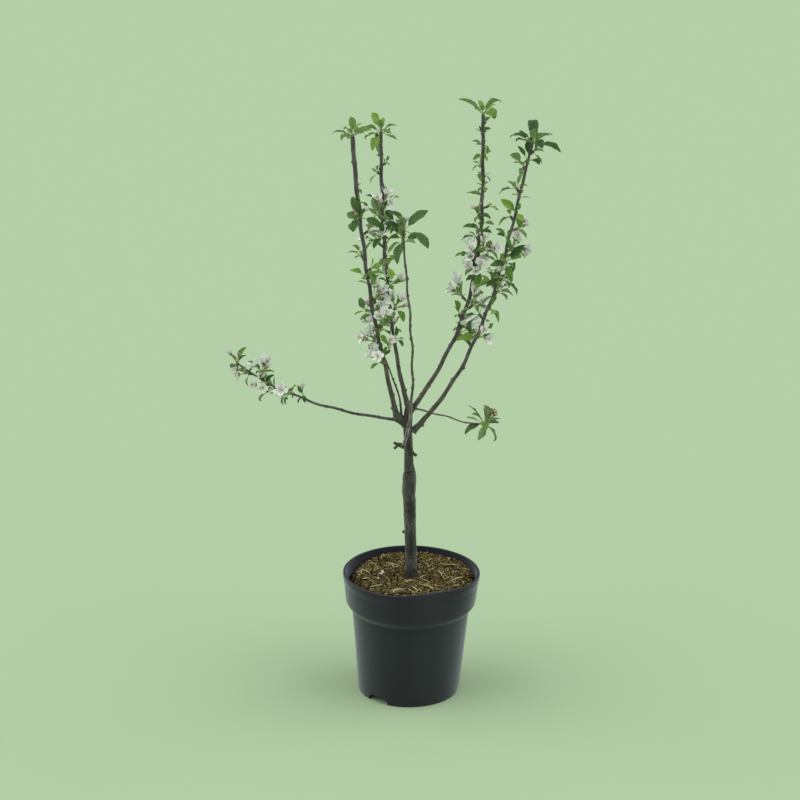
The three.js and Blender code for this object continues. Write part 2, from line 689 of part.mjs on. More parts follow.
/** Draws what the end of a spur bears. */
function addSpray(growth, draw, root, axis, bears) {
  let turn = 360 * draw();
  const blooming = draw() < bears.bloom;
  const leaves = countOf(draw, bears.leaves);
  for (let k = 0; k < leaves; k++) {
    turn += GOLDEN_ANGLE;
    const splay = bears.splay
      ? along(bears.splay, (leaves - k - 0.5) / leaves)
      : between(draw, LEAF_SPLAY);
    addLeaf(growth, draw, root, axis, turn, splay, bears.leaf);
  }
  const blossoms = blooming ? countOf(draw, bears.blossoms) : 0;
  const buds = blooming ? countOf(draw, bears.buds) : 0;
  for (let k = 0; k < blossoms + buds; k++) {
    turn += GOLDEN_ANGLE;
    const { forward, end } = stalkFrom(draw, root, axis, turn);
    if (k < blossoms) addBlossom(growth, { root, forward, end, size: between(draw, BLOSSOM_RADIUS) });
    else addBud(growth, { root, forward, end, size: between(draw, BUD_LENGTH) });
  }
}

/** Keeps a blossom where its rim stays in the limb's space and clear of other blossoms. */
function addBlossom(growth, blossom) {
  const { forward, end, size } = blossom;
  const side = squareTo(forward).multiplyScalar(size);
  const front = new THREE.Vector3().crossVectors(forward, side);
  const middle = end.clone().addScaledVector(forward, size * BLOSSOM_CUP);
  const crowded = growth.blossoms.some(
    (other) => other.end.distanceTo(end) < BLOSSOM_GAP * (other.size + size),
  );
  if (!crowded && growth.fits([end, ...ring(middle, side, front, 5)])) growth.blossoms.push(blossom);
}

/** Keeps a bud where its tip stays in the limb's space and out of the blossoms. */
function addBud(growth, bud) {
  const { forward, end, size } = bud;
  const tip = end.clone().addScaledVector(forward, size);
  const crowded = growth.blossoms.some((other) => other.end.distanceTo(end) < other.size);
  if (!crowded && growth.fits([end, tip])) growth.buds.push(bud);
}

/** Grows one stretch of a limb by its seed: spurs in a spiral round the limb, and what they bear. */
function growZone(growth, path, zone) {
  const draw = randomFrom(zone.seed);
  let heading = 360 * draw();
  for (let share = zone.from; share <= zone.to; share += zone.gap / path.length) {
    heading += GOLDEN_ANGLE + (draw() - 0.5) * 2 * HEADING_JITTER;
    const { middle, forward, side, front, diameter } = path.at(share);
    const lift = between(draw, SPUR_LIFT);
    const axis = side
      .multiplyScalar(Math.cos(heading * DEGREE) * Math.cos(lift * DEGREE))
      .addScaledVector(front, Math.sin(heading * DEGREE) * Math.cos(lift * DEGREE))
      .addScaledVector(forward, Math.sin(lift * DEGREE));
    const reach = diameter / 2 + zone.spur * between(draw, SPUR_REACH);
    const end = middle.clone().addScaledVector(axis, reach);
    growth.spurs.push({ from: middle, to: end });
    addSpray(growth, draw, end, axis, zone);
  }
}

/** Grows a limb's crown and zones. */
function growLimb(name, paths) {
  const { crown, zones } = LIMBS[name];
  const path = paths[name];
  const fits = (points) => keepsToSpace(points, name, paths);
  const growth = { fits, spurs: [], leaves: [], blossoms: [], buds: [] };
  const { middle, forward } = path.at(1);
  const knuckle = middle.clone().addScaledVector(forward, -KNUCKLE_DIAMETER);
  growth.spurs.push({ from: knuckle, to: middle });
  const axis = forward.addScaledVector(UP, crown.rise).normalize();
  const rosette = { ...crown, splay: [CROWN_SPLAY, crown.spread], bloom: 1, blossoms: 0 };
  addSpray(growth, randomFrom(crown.seed), middle, axis, rosette);
  for (const zone of zones) growZone(growth, path, zone);
  return growth;
}

// --- Foliage solids --------------------------------------------------------------------

/** A short spur with a swollen end, where its leaves and stalks root. */
function spurSolid({ from, to }) {
  const forward = to.clone().sub(from).normalize();
  const across = squareTo(forward);
  const up = new THREE.Vector3().crossVectors(forward, across);
  const section = (middle, diameter) =>
    ring(
      middle,
      across.clone().multiplyScalar(diameter / 2),
      up.clone().multiplyScalar(diameter / 2),
      SPUR_SIDES,
    );
  const tip = to.clone().addScaledVector(forward, KNUCKLE_DIAMETER / 2);
  return solid(skin([section(from, SPUR_DIAMETER), section(to, KNUCKLE_DIAMETER), [tip]]));
}

/** A leaf blade on its stalk, folded along its rib and bent down to its tip. */
function leafSolid(leaf) {
  const [foot, wide, tip] = leafShape(leaf);
  const section = ({ middle, lift, left, right }, thickness) => [
    left,
    middle.clone().addScaledVector(lift, -thickness / 2),
    right,
  ];
  const stalk = section(foot, PETIOLE_DIAMETER);
  return solid(skin([[leaf.root], stalk, section(wide, LEAF_THICKNESS), [tip.middle]]));
}

/** An open blossom: a stalk that widens into a shallow cup of five petals. */
function blossomSolid({ root, forward, end, size }) {
  const side = squareTo(forward);
  const front = new THREE.Vector3().crossVectors(forward, side);
  const mouth = end.clone().addScaledVector(forward, size * BLOSSOM_CUP);
  const petals = ring(mouth, side, front, 2 * PETALS).map((point, k) =>
    point.sub(mouth).multiplyScalar(k % 2 ? size : size * PETAL_NOTCH).add(mouth),
  );
  const radius = PEDICEL_DIAMETER / 2;
  const stalk = ring(end, side.clone().multiplyScalar(radius), front.clone().multiplyScalar(radius), PETALS);
  const inside = end.clone().addScaledVector(forward, BLOSSOM_THICKNESS);
  return solid(skin([[root], stalk, petals, [inside]]));
}

/** A closed bud on its stalk. */
function budSolid({ root, forward, end, size }) {
  const side = squareTo(forward);
  const front = new THREE.Vector3().crossVectors(forward, side);
  const section = (middle, radius) =>
    ring(middle, side.clone().multiplyScalar(radius), front.clone().multiplyScalar(radius), SPUR_SIDES);
  const belly = end.clone().addScaledVector(forward, size * BUD_BELLY);
  const tip = end.clone().addScaledVector(forward, size);
  return solid(
    skin([[root], section(end, PEDICEL_DIAMETER / 2), section(belly, size * BUD_GIRTH), [tip]]),
  );
}

/** One limb's foliage: the stem above the split with all that it bears, fused. */
function buildFoliage(name, paths) {
  const path = paths[name];
  const growth = growLimb(name, paths);
  const start = LIMBS[name].split + CLEARANCE / path.length;
  const parts = [limbStretch(path, start, 1, STEM_SIDES, 0)];
  parts.push(...growth.spurs.map(spurSolid));
  parts.push(...growth.leaves.map(leafSolid));
  parts.push(...growth.blossoms.map(blossomSolid));
  parts.push(...growth.buds.map(budSolid));
  return largestBody(wasm.Manifold.union(parts));
}

// --- Assembly --------------------------------------------------------------------------

/** A solid as a named mesh of one colour. */
function meshOf(name, made, color, roughness) {
  const { numVert, numProp, vertProperties, triVerts } = made.getMesh();
  const place = new Float32Array(numVert * 3);
  for (let i = 0; i < numVert; i++) {
    place.set(vertProperties.subarray(i * numProp, i * numProp + 3), i * 3);
  }
  const geometry = new THREE.BufferGeometry();
  geometry.setAttribute("position", new THREE.BufferAttribute(place, 3));
  geometry.setIndex(new THREE.BufferAttribute(triVerts, 1));
  geometry.computeVertexNormals();
  const material = new THREE.MeshStandardMaterial({ color, roughness, metalness: 0 });
  const mesh = new THREE.Mesh(geometry, material);
  mesh.name = name;
  return mesh;
}

const tree = new THREE.Group();
tree.add(meshOf("pot", buildPot(), 0x2b3032, 0.5));
tree.add(meshOf("potting_mix", buildPottingMix(), 0x5b4a27, 0.95));
tree.add(meshOf("trunk", buildTrunk(0), 0x55504a, 0.85));

const paths = Object.fromEntries(
  Object.entries(LIMBS).map(([name, limb]) => [name, limbPath(limb)]),
);
let taken = buildTrunk(CLEARANCE);
for (const name of Object.keys(LIMBS)) {
  const { split } = LIMBS[name];
  const bough = limbStretch(paths[name], 0, split, BOUGH_SIDES, 0);
  tree.add(meshOf("bough_" + name, largestBody(bough.subtract(taken)), 0x4a443d, 0.85));
  taken = taken.add(limbStretch(paths[name], 0, split, BOUGH_SIDES, CLEARANCE));
}
for (const name of Object.keys(LIMBS)) {
  tree.add(meshOf("foliage_" + name, buildFoliage(name, paths), 0x5f8a35, 0.7));
}

export default tree;
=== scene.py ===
"""A young dwarf apple tree in bloom in its nursery pot: the looks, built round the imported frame.

The part's growth rule is written again here with its seeds, so each leaf, blossom and bud stands
where its solid does, and finer growth is added within the same reach. Lengths are millimetres in
the part's frame: +X to the right, -Y to the front, +Z up, from the floor below the trunk. The
meshes are made in metres.
"""
import math
from functools import lru_cache
from typing import NamedTuple

import bpy
import numpy as np
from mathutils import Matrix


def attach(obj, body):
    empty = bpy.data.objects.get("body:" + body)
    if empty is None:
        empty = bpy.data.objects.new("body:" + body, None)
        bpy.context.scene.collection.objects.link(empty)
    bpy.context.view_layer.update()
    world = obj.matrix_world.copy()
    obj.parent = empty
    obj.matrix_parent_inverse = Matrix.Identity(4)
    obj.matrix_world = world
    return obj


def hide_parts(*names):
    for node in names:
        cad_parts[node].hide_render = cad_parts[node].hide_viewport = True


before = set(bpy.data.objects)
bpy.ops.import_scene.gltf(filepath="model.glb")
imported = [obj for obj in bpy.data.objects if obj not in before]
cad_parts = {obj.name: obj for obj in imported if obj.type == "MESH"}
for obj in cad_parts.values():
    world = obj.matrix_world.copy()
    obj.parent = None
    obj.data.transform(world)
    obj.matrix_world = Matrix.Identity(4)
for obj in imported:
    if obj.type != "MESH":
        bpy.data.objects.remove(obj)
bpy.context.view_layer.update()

MM = 0.001
RIGHT, BACK, UP = np.eye(3)
GOLDEN_ANGLE = 137.5
CLEARANCE = 0.3
SOIL_LEVEL = 190
FOLD = 60                 # a surface turns sharply at folds beyond this angle


# --- Directions and random draws

HEAD_ON = 0.95            # a direction looks straight to the front or back beyond this


def unit(vector):
    return vector / np.linalg.norm(vector)


def direction(lift, heading):
    """The direction at a lift above level and a heading round +Z from +X, in degrees."""
    lift, heading = math.radians(lift), math.radians(heading)
    level = math.cos(lift)
    return np.array([level * math.cos(heading), level * math.sin(heading), math.sin(lift)])


def square_to(forward):
    """A direction square to another: to the left, as seen from the front, of one that stands up."""
    return unit(np.cross(forward, UP if abs(forward[1]) > HEAD_ON else BACK))


def turned_about(vector, axis, degrees):
    angle = math.radians(degrees)
    return (vector * math.cos(angle) + np.cross(axis, vector) * math.sin(angle)
            + axis * (axis @ vector) * (1 - math.cos(angle)))


def splayed(axis, splay, turn):
    """The direction that opens from an axis by its splay, and the side it opens to by its turn."""
    side = square_to(axis)
    front = np.cross(axis, side)
    splay, turn = math.radians(splay), math.radians(turn)
    out = side * math.cos(turn) + front * math.sin(turn)
    return axis * math.cos(splay) + out * math.sin(splay), out


def turned_from(heading, start):
    """How far headings are turned from another, from -180 to 180 degrees."""
    return (heading - start + 540) % 360 - 180


def turns(count):
    """Even angles round a circle."""
    return 2 * math.pi * np.arange(count) / count


def circle(angles, side, front):
    """The directions at angles round an axis, from its side towards its front."""
    return np.cos(angles)[:, None] * side + np.sin(angles)[:, None] * front


def cubic(corners, t):
    """The point of a cubic curve at t, or its points at a column of them."""
    a, b, c, d = corners
    return (1 - t) ** 3 * a + 3 * (1 - t) ** 2 * t * b + 3 * (1 - t) * t**2 * c + t**3 * d


def along(values, share):
    """The value at a share from 0 to 1 of an even list."""
    return float(np.interp(share * (len(values) - 1), range(len(values)), values))


def ripple(points, size, seed, waves=14):
    """Smooth uneven relief, mostly from -1 to 1, whose swells are about a size across."""
    source = np.random.default_rng(seed)
    axes = source.normal(size=(waves, 3))
    axes /= np.linalg.norm(axes, axis=1)[:, None]
    axes *= 2 * math.pi / (size * source.uniform(1.2, 2.8, (waves, 1)))
    phases = source.uniform(0, 2 * math.pi, waves)
    return np.sin(points @ axes.T + phases).sum(axis=-1) / math.sqrt(waves)


class Draw:
    """A seeded source of even random numbers from 0 to 1, the same as the part's."""

    def __init__(self, seed):
        self.state = seed
        for _ in range(8):
            self()

    def __call__(self):
        self.state = (self.state * 1664525 + 1013904223) % 2**32
        return self.state / 2**32

    def between(self, span):
        low, high = span
        return low + (high - low) * self()

    def count(self, mean):
        return math.floor(mean + self())

    def pick(self, weights):
        """The number of one choice, by its weight."""
        place = self() * sum(weights)
        for number, weight in enumerate(weights):
            place -= weight
            if place < 0:
                return number
        return len(weights) - 1


# --- Limbs, as in the part

class Crown(NamedTuple):
    """The spray at a limb's tip: its seed, how far it turns up and spreads, and what it bears."""
    seed: int
    rise: float
    spread: float
    leaves: float
    leaf: float           # length
    buds: float
    bloom: float = 1
    blossoms: float = 0


class Zone(NamedTuple):
    """A leafy stretch between two shares of a limb's length, and what its spurs bear on average."""
    seed: int
    start: float
    end: float
    gap: float            # from spur to spur
    spur: float           # length
    leaves: float
    leaf: float           # length
    bloom: float          # the share of the sprays that bloom
    blossoms: float
    buds: float


class Limb(NamedTuple):
    """A tapering limb. It leaves and arrives by a lift, a heading and how far it keeps to them."""
    root: tuple
    leave: tuple
    tip: tuple
    arrive: tuple
    diameters: tuple      # evenly along the limb
    sway: float           # where its waves start
    split: float          # the share of its length where the foliage starts
    crown: Crown
    zones: tuple = ()
    bow: float = 0        # to the right, near its foot


LIMBS = {
    "left_front": Limb(
        root=(-19, -5, 454), leave=(66, -165, 0.18),
        tip=(-86, -45, 900), arrive=(88, -180, 0.2),
        diameters=(9, 6.6, 5.8, 5.6, 6, 6.6, 6.8), sway=1, split=0.2, bow=3.5,
        crown=Crown(6019, 0, 95, 7.5, 24, 0),
        zones=(
            Zone(1573, 0.21, 0.33, 15, 7, 1.9, 20, 0.8, 2.4, 1.8),
            Zone(3728, 0.34, 0.47, 15, 7, 1.9, 21, 0.75, 3, 1.5),
            Zone(5215, 0.48, 0.6, 15, 7, 2, 23, 0.6, 1.8, 1.5),
            Zone(3569, 0.67, 0.75, 13, 5, 2.3, 24, 0.4, 0.6, 2),
            Zone(6419, 0.78, 0.85, 18, 2, 1.2, 10, 0, 0, 0),
        )),
    "left_back": Limb(
        root=(-3, 2, 470), leave=(55, 120, 0.25),
        tip=(-46, 80, 889), arrive=(84, 90, 0.36),
        diameters=(7.6, 6.2, 5.6, 5.4, 5.4, 5.6, 5.4), sway=2, split=0.22,
        crown=Crown(2341, 0, 140, 9.5, 25, 0),
        zones=(
            Zone(5664, 0.24, 0.42, 16, 7, 1.9, 21, 0.75, 2.8, 1.5),
            Zone(4831, 0.44, 0.59, 16, 7, 2, 24, 0.6, 2.4, 1),
            Zone(901, 0.61, 0.78, 16, 7, 2.1, 25, 0.5, 1.4, 1.5),
            Zone(301, 0.85, 0.97, 14, 3, 1.8, 13, 0, 0, 0),
        )),
    "right_back": Limb(
        root=(-2, 3, 464), leave=(44, 35, 0.46),
        tip=(110, 70, 917), arrive=(84, 90, 0.36),
        diameters=(7.6, 6.4, 6, 5.6, 5.6, 5.6, 5.4), sway=3, split=0.27,
        crown=Crown(3775, 0, 75, 5, 32, 0),
        zones=(
            Zone(1939, 0.28, 0.46, 15, 8, 1.9, 23, 0.7, 2.8, 1.8),
            Zone(5151, 0.48, 0.63, 14, 8, 2, 24, 0.8, 3.4, 1.4),
            Zone(3882, 0.65, 0.75, 14, 6, 2, 18, 0.5, 0.4, 1.6),
            Zone(2214, 0.77, 0.98, 16, 3, 1.9, 15, 0, 0, 0),
        )),
    "right_front": Limb(
        root=(3, -1, 434), leave=(48, 0, 0.38),
        tip=(177, -50, 891), arrive=(74, -40, 0.36),
        diameters=(8.2, 6.4, 5.4, 5, 4.6, 4.2, 3.8), sway=4, split=0.32, bow=1.5,
        crown=Crown(8849, 0, 90, 7.5, 31, 0),
        zones=(
            Zone(2699, 0.33, 0.48, 16, 7, 1.9, 24, 0.7, 1.8, 1.2),
            Zone(8299, 0.5, 0.67, 15, 8, 2.4, 26, 0.6, 1.8, 1.4),
            Zone(1172, 0.69, 0.86, 15, 6, 2, 21, 0.4, 0.8, 2),
            Zone(8134, 0.91, 0.98, 13, 4, 2.5, 24, 0, 0, 0),
        )),
    "middle": Limb(
        root=(-12, -9, 410), leave=(70, -34, 0.32),
        tip=(-11, -88, 768), arrive=(85, -60, 0.17),
        diameters=(6, 4.8, 3.8, 3.5, 3.3, 3.1, 2.8), sway=5.7, split=0.9,
        crown=Crown(4891, 0, 120, 6, 34, 1),
        zones=(
            Zone(1716, 0.93, 0.97, 12, 5, 1.4, 30, 0, 0, 0),
        )),
    "far_left": Limb(
        root=(-8, -3, 453.2), leave=(5, -178, 0.25),
        tip=(-266, -20, 550), arrive=(41, -176, 0.36),
        diameters=(5, 4.4, 4.1, 3.8, 3.5, 3.1, 2.6), sway=6, split=0.53,
        crown=Crown(9917, 2.2, 150, 3.4, 25, 1.5),
        zones=(
            Zone(5631, 0.56, 0.7, 16, 6, 1.6, 17, 0.6, 0.7, 1.5),
            Zone(16854, 0.72, 0.93, 16, 6, 1.9, 23, 0.8, 2.4, 0.8),
        )),
    "far_right": Limb(
        root=(0, 4, 470), leave=(-5, 26, 0.2),
        tip=(118, 62, 427), arrive=(-8, 26, 0.36),
        diameters=(2.8, 2.4, 2.3, 2.2, 2.2, 2.1, 2), sway=7, split=0.88,
        crown=Crown(5486, 2.2, 130, 9.5, 28, 6)),
    "inner_left": Limb(
        root=(-13.5, 0, 452.5), leave=(84, 166, 0.7),
        tip=(-46, 38, 565), arrive=(68, 126, 0.55),
        diameters=(3.6, 3.2, 3, 2.8, 2.7, 2.6, 2.4), sway=8, split=0.74,
        crown=Crown(9743, 0, 90, 4, 19, 2)),
}
WAVE_HEIGHT = 1.1
WAVE_LENGTH = 62
BOW_SPAN = 0.36
LIMB_SAMPLES = 60
CURVE_STEPS = 200


class Path:
    """A limb's swaying curve, walked by shares of its length."""

    def __init__(self, limb):
        start, end = np.array(limb.root, float), np.array(limb.tip, float)
        straight = np.linalg.norm(end - start)
        out, back = (direction(lift, heading) * handle * straight
                     for lift, heading, handle in (limb.leave, limb.arrive))
        self.limb = limb
        self.corners = (start, start + out, end - back, end)
        self.times = np.linspace(0, 1, CURVE_STEPS + 1)
        steps = np.diff([cubic(self.corners, t) for t in self.times], axis=0)
        self.lengths = np.concatenate([[0], np.cumsum(np.linalg.norm(steps, axis=1))])
        self.length = self.lengths[-1]
        self.shares = np.linspace(0, 1, LIMB_SAMPLES + 1)
        self.samples = np.array([self.at(share)[0] for share in self.shares])

    def at(self, share):
        """The middle, the directions forward, to the side and to the front, and the diameter."""
        t = np.interp(share * self.length, self.lengths, self.times)
        a, b, c, d = self.corners
        forward = unit((1 - t) ** 2 * (b - a) + 2 * (1 - t) * t * (c - b) + t**2 * (d - c))
        side = square_to(forward)
        front = np.cross(forward, side)
        phase = 2 * math.pi * share * self.length / WAVE_LENGTH + self.limb.sway
        sway = WAVE_HEIGHT * math.sin(math.pi * share)
        bow = self.limb.bow * math.sin(math.pi * min(1, share / BOW_SPAN))
        middle = (cubic(self.corners, t) + side * sway * math.sin(phase)
                  + front * sway * math.cos(0.7 * phase) + RIGHT * bow)
        return middle, forward, side, front, along(self.limb.diameters, share)


PATHS = {name: Path(limb) for name, limb in LIMBS.items()}


# --- Growth: what a spur bears, as in the part

KNUCKLE_DIAMETER = 5.2
SPUR_LIFT = (25, 65)
SPUR_REACH = (0.6, 1.4)
HEADING_JITTER = 30
PETIOLE_SHARE = (0.25, 0.5)
LEAF_WIDTH = (0.38, 0.56)
LEAF_SIZE = (0.72, 1.2)
LEAF_SPLAY = (32, 88)
LEAF_CURL = (10, 75)
LEAF_FOLD = (12, 40)
LEAF_ROLL = (-25, 25)
LEAF_LIGHT = 0.5
LEAF_OUTLINE = [(0, 0.12), (0.42, 1), (1, 0)]
LEAF_GAP = 0.15
CROWN_SPLAY = 14
PEDICEL_LENGTH = (13, 22)
PEDICEL_SPLAY = (8, 55)
PEDICEL_LIGHT = 0.15
PETALS = 5
BLOSSOM_RADIUS = (10, 13)
BLOSSOM_CUP = 0.42
BLOSSOM_GAP = 0.75
BUD_LENGTH = (6, 9)
SPACE_MARGIN = 3
BOUGH_MARGIN = 5.5
REACH = 52

# Finer growth, made only here.
YOUNG_LEAVES = 2.8        # small leaves at a spur's end, beyond those of the solids
YOUNG_SIZE = 0.7          # of the spray's leaf length
YOUNG_SPLAY = (15, 75)
HALF_OPEN = 4             # further blossoms in a spray that blooms, only half open
FULL_BLOOM = 2.4          # a stretch with fewer blossoms to a spray has fewer of them
HALF_OPEN_RADIUS = (8.4, 9.9)
HALF_OPEN_GAP = 0.55
TINY_BUDS = 1.2           # further buds there
TINY_BUD_LENGTH = (3.5, 5.5)


class Leaf(NamedTuple):
    root: np.ndarray
    forward: np.ndarray
    upper: np.ndarray
    petiole: float
    length: float
    width: float
    curl: float
    fold: float

    @property
    def middle(self):
        return self.root + self.forward * (self.petiole + self.length / 2)

    def outline(self):
        """The few points that stand for the leaf where its space is tested."""
        across = np.cross(self.forward, self.upper)
        curl, fold = math.radians(self.curl), math.radians(self.fold)
        points = []
        for share, width_share in LEAF_OUTLINE:
            bend = curl * share
            run = self.length * math.sin(bend) / curl
            fall = self.length * (1 - math.cos(bend)) / curl
            middle = self.root + self.forward * (self.petiole + run) - self.upper * fall
            lift = self.upper * math.cos(bend) + self.forward * math.sin(bend)
            half = width_share * self.width / 2
            rise = lift * half * math.sin(fold)
            sweep = across * half * math.cos(fold)
            points += [middle - sweep + rise, middle, middle + sweep + rise]
        return np.array(points)


class Flower(NamedTuple):
    """A blossom or a bud at the end of its stalk."""
    root: np.ndarray
    forward: np.ndarray
    end: np.ndarray
    size: float

    def near(self, other, reach):
        return np.linalg.norm(other.end - self.end) < reach


class Spray:
    """All that grows from the end of one spur."""

    def __init__(self, limb, foot, root, axis, bears):
        self.limb, self.foot, self.root, self.axis, self.bears = limb, foot, root, axis, bears
        self.leaves, self.young, self.blossoms, self.buds = [], [], [], []
        self.crowns = isinstance(bears, Crown)


def distance_to(samples, points):
    """The distance from each point to the nearest sample."""
    return np.linalg.norm(points[:, None] - samples[None], axis=2).min(axis=1)


class Growth:
    """What one limb bears: its sprays, and all their leaves and blossoms."""

    def __init__(self, name):
        self.name = name
        self.path = PATHS[name]
        limb = LIMBS[name]
        self.bough = self.path.samples[self.path.shares < limb.split]
        self.sprays, self.leaves, self.blossoms = [], [], []
        middle, forward = self.path.at(1)[:2]
        axis = unit(forward + UP * limb.crown.rise)
        foot = middle - forward * KNUCKLE_DIAMETER
        self.add_spray(Draw(limb.crown.seed), foot, middle, axis, limb.crown)
        for zone in limb.zones:
            self.grow_zone(zone)

    def fits(self, points):
        """Whether points keep to the limb's own space, clear of its bough and all other limbs."""
        own = distance_to(self.path.samples, points)
        others = (path.samples for other, path in PATHS.items() if other != self.name)
        return (all((distance_to(samples, points) > own + SPACE_MARGIN).all() for samples in others)
                and (own < REACH).all() and (distance_to(self.bough, points) > BOUGH_MARGIN).all())

    def grow_zone(self, zone):
        """Spurs in a spiral round a stretch of the limb, and what they bear."""
        draw = Draw(zone.seed)
        heading = 360 * draw()
        share = zone.start
        while share <= zone.end:
            heading += GOLDEN_ANGLE + (draw() - 0.5) * 2 * HEADING_JITTER
            middle, forward, side, front, diameter = self.path.at(share)
            lift, turn = math.radians(draw.between(SPUR_LIFT)), math.radians(heading)
            axis = ((side * math.cos(turn) + front * math.sin(turn)) * math.cos(lift)
                    + forward * math.sin(lift))
            reach = diameter / 2 + zone.spur * draw.between(SPUR_REACH)
            self.add_spray(draw, middle, middle + axis * reach, axis, zone)
            share += zone.gap / self.path.length

    def add_spray(self, draw, foot, root, axis, bears):
        """Draws what the end of a spur bears."""
        spray = Spray(self.name, foot, root, axis, bears)
        turn = 360 * draw()
        blooming = draw() < bears.bloom
        leaves = draw.count(bears.leaves)
        for k in range(leaves):
            turn += GOLDEN_ANGLE
            splay = (along((CROWN_SPLAY, bears.spread), (leaves - k - 0.5) / leaves)
                     if spray.crowns else draw.between(LEAF_SPLAY))
            self.add_leaf(draw, spray, turn, splay, bears.leaf, spray.leaves)
        blossoms = draw.count(bears.blossoms) if blooming else 0
        buds = draw.count(bears.buds) if blooming else 0
        for k in range(blossoms + buds):
            turn += GOLDEN_ANGLE
            if k < blossoms:
                self.add_blossom(draw, spray, turn, BLOSSOM_RADIUS, BLOSSOM_GAP)
            else:
                self.add_bud(draw, spray, turn, BUD_LENGTH)
        self.sprays.append(spray)

    def add_leaf(self, draw, spray, turn, splay, size, leaves):
        """One leaf that splays from a spray's axis, unless it would leave its space."""
        length = size * draw.between(LEAF_SIZE)
        petiole = length * draw.between(PETIOLE_SHARE)
        width = length * draw.between(LEAF_WIDTH)
        curl, fold, roll = (draw.between(span) for span in (LEAF_CURL, LEAF_FOLD, LEAF_ROLL))
        forward, out = splayed(spray.axis, splay, turn)
        tilt = math.radians(splay)
        upper = spray.axis * math.sin(tilt) - out * math.cos(tilt) + UP * LEAF_LIGHT
        upper = turned_about(unit(upper - forward * (upper @ forward)), forward, roll)
        leaf = Leaf(spray.root, forward, upper, petiole, length, width, curl, fold)
        crowded = any(np.linalg.norm(other.middle - leaf.middle) < LEAF_GAP * (other.length + length)
                      for other in self.leaves)
        if not crowded and self.fits(leaf.outline()):
            self.leaves.append(leaf)
            leaves.append(leaf)

    def draw_flower(self, draw, spray, turn, sizes):
        splay = draw.between(PEDICEL_SPLAY)
        length = draw.between(PEDICEL_LENGTH)
        forward = unit(splayed(spray.axis, splay, turn)[0] + UP * PEDICEL_LIGHT)
        return Flower(spray.root, forward, spray.root + forward * length, draw.between(sizes))

    def add_blossom(self, draw, spray, turn, sizes, gap):
        blossom = self.draw_flower(draw, spray, turn, sizes)
        _, forward, end, size = blossom
        side = square_to(forward)
        middle = end + forward * size * BLOSSOM_CUP
        rim = middle + size * circle(turns(PETALS), side, np.cross(forward, side))
        crowded = any(blossom.near(other, gap * (other.size + size)) for other in self.blossoms)
        if not crowded and self.fits(np.array([end, *rim])):
            self.blossoms.append(blossom)
            spray.blossoms.append(blossom)

    def add_bud(self, draw, spray, turn, sizes):
        bud = self.draw_flower(draw, spray, turn, sizes)
        crowded = any(bud.near(other, other.size) for other in self.blossoms)
        if not crowded and self.fits(np.array([bud.end, bud.end + bud.forward * bud.size])):
            spray.buds.append(bud)

    def add_finer_growth(self, seed):
        """Young leaves, half-open blossoms and tiny buds. Their seed leaves the part's draws alone."""
        draw = Draw(seed)
        for spray in self.sprays:
            turn = 360 * draw()
            for _ in range(draw.count(YOUNG_LEAVES)):
                turn += GOLDEN_ANGLE
                splay = draw.between(YOUNG_SPLAY)
                self.add_leaf(draw, spray, turn, splay, YOUNG_SIZE * spray.bears.leaf, spray.young)
            if not spray.blossoms:
                continue
            fullness = min(1, spray.bears.blossoms / FULL_BLOOM)
            for _ in range(draw.count(HALF_OPEN * fullness**2)):
                turn += GOLDEN_ANGLE
                self.add_blossom(draw, spray, turn, HALF_OPEN_RADIUS, HALF_OPEN_GAP)
            for _ in range(draw.count(TINY_BUDS)):
                turn += GOLDEN_ANGLE
                self.add_bud(draw, spray, turn, TINY_BUD_LENGTH)


# --- Meshes

def new_mesh(name, points, quads, tris):
    mesh = bpy.data.meshes.new(name)
    mesh.from_pydata((points * MM).tolist(), [], quads.tolist() + tris.tolist())
    return mesh


def placed(name, data):
    piece = bpy.data.objects.new(name, data)
    bpy.context.scene.collection.objects.link(piece)
    return piece


def finished(mesh, sharp, materials):
    """The mesh as a smooth object that turns sharply at folds beyond an angle."""
    for name in materials:
        mesh.materials.append(MATERIALS[name])
    mesh.shade_smooth()
    mesh.set_sharp_from_angle(angle=math.radians(sharp))
    mesh.update()
    return placed(mesh.name, mesh)


def applied(piece):
    """The mesh that a piece's modifiers make, without its materials. The piece is deleted."""
    graph = bpy.context.evaluated_depsgraph_get()
    mesh = bpy.data.meshes.new_from_object(piece.evaluated_get(graph))
    mesh.materials.clear()
    bpy.data.objects.remove(piece)
    return mesh


def vectors(items, attribute):
    """A vector of each vertex or face, as rows."""
    values = np.empty(len(items) * 3, np.float32)
    items.foreach_get(attribute, values)
    return values.reshape(-1, 3).astype(float)


def move_points(mesh, points):
    mesh.vertices.foreach_set("co", (points * MM).ravel().astype(np.float32))


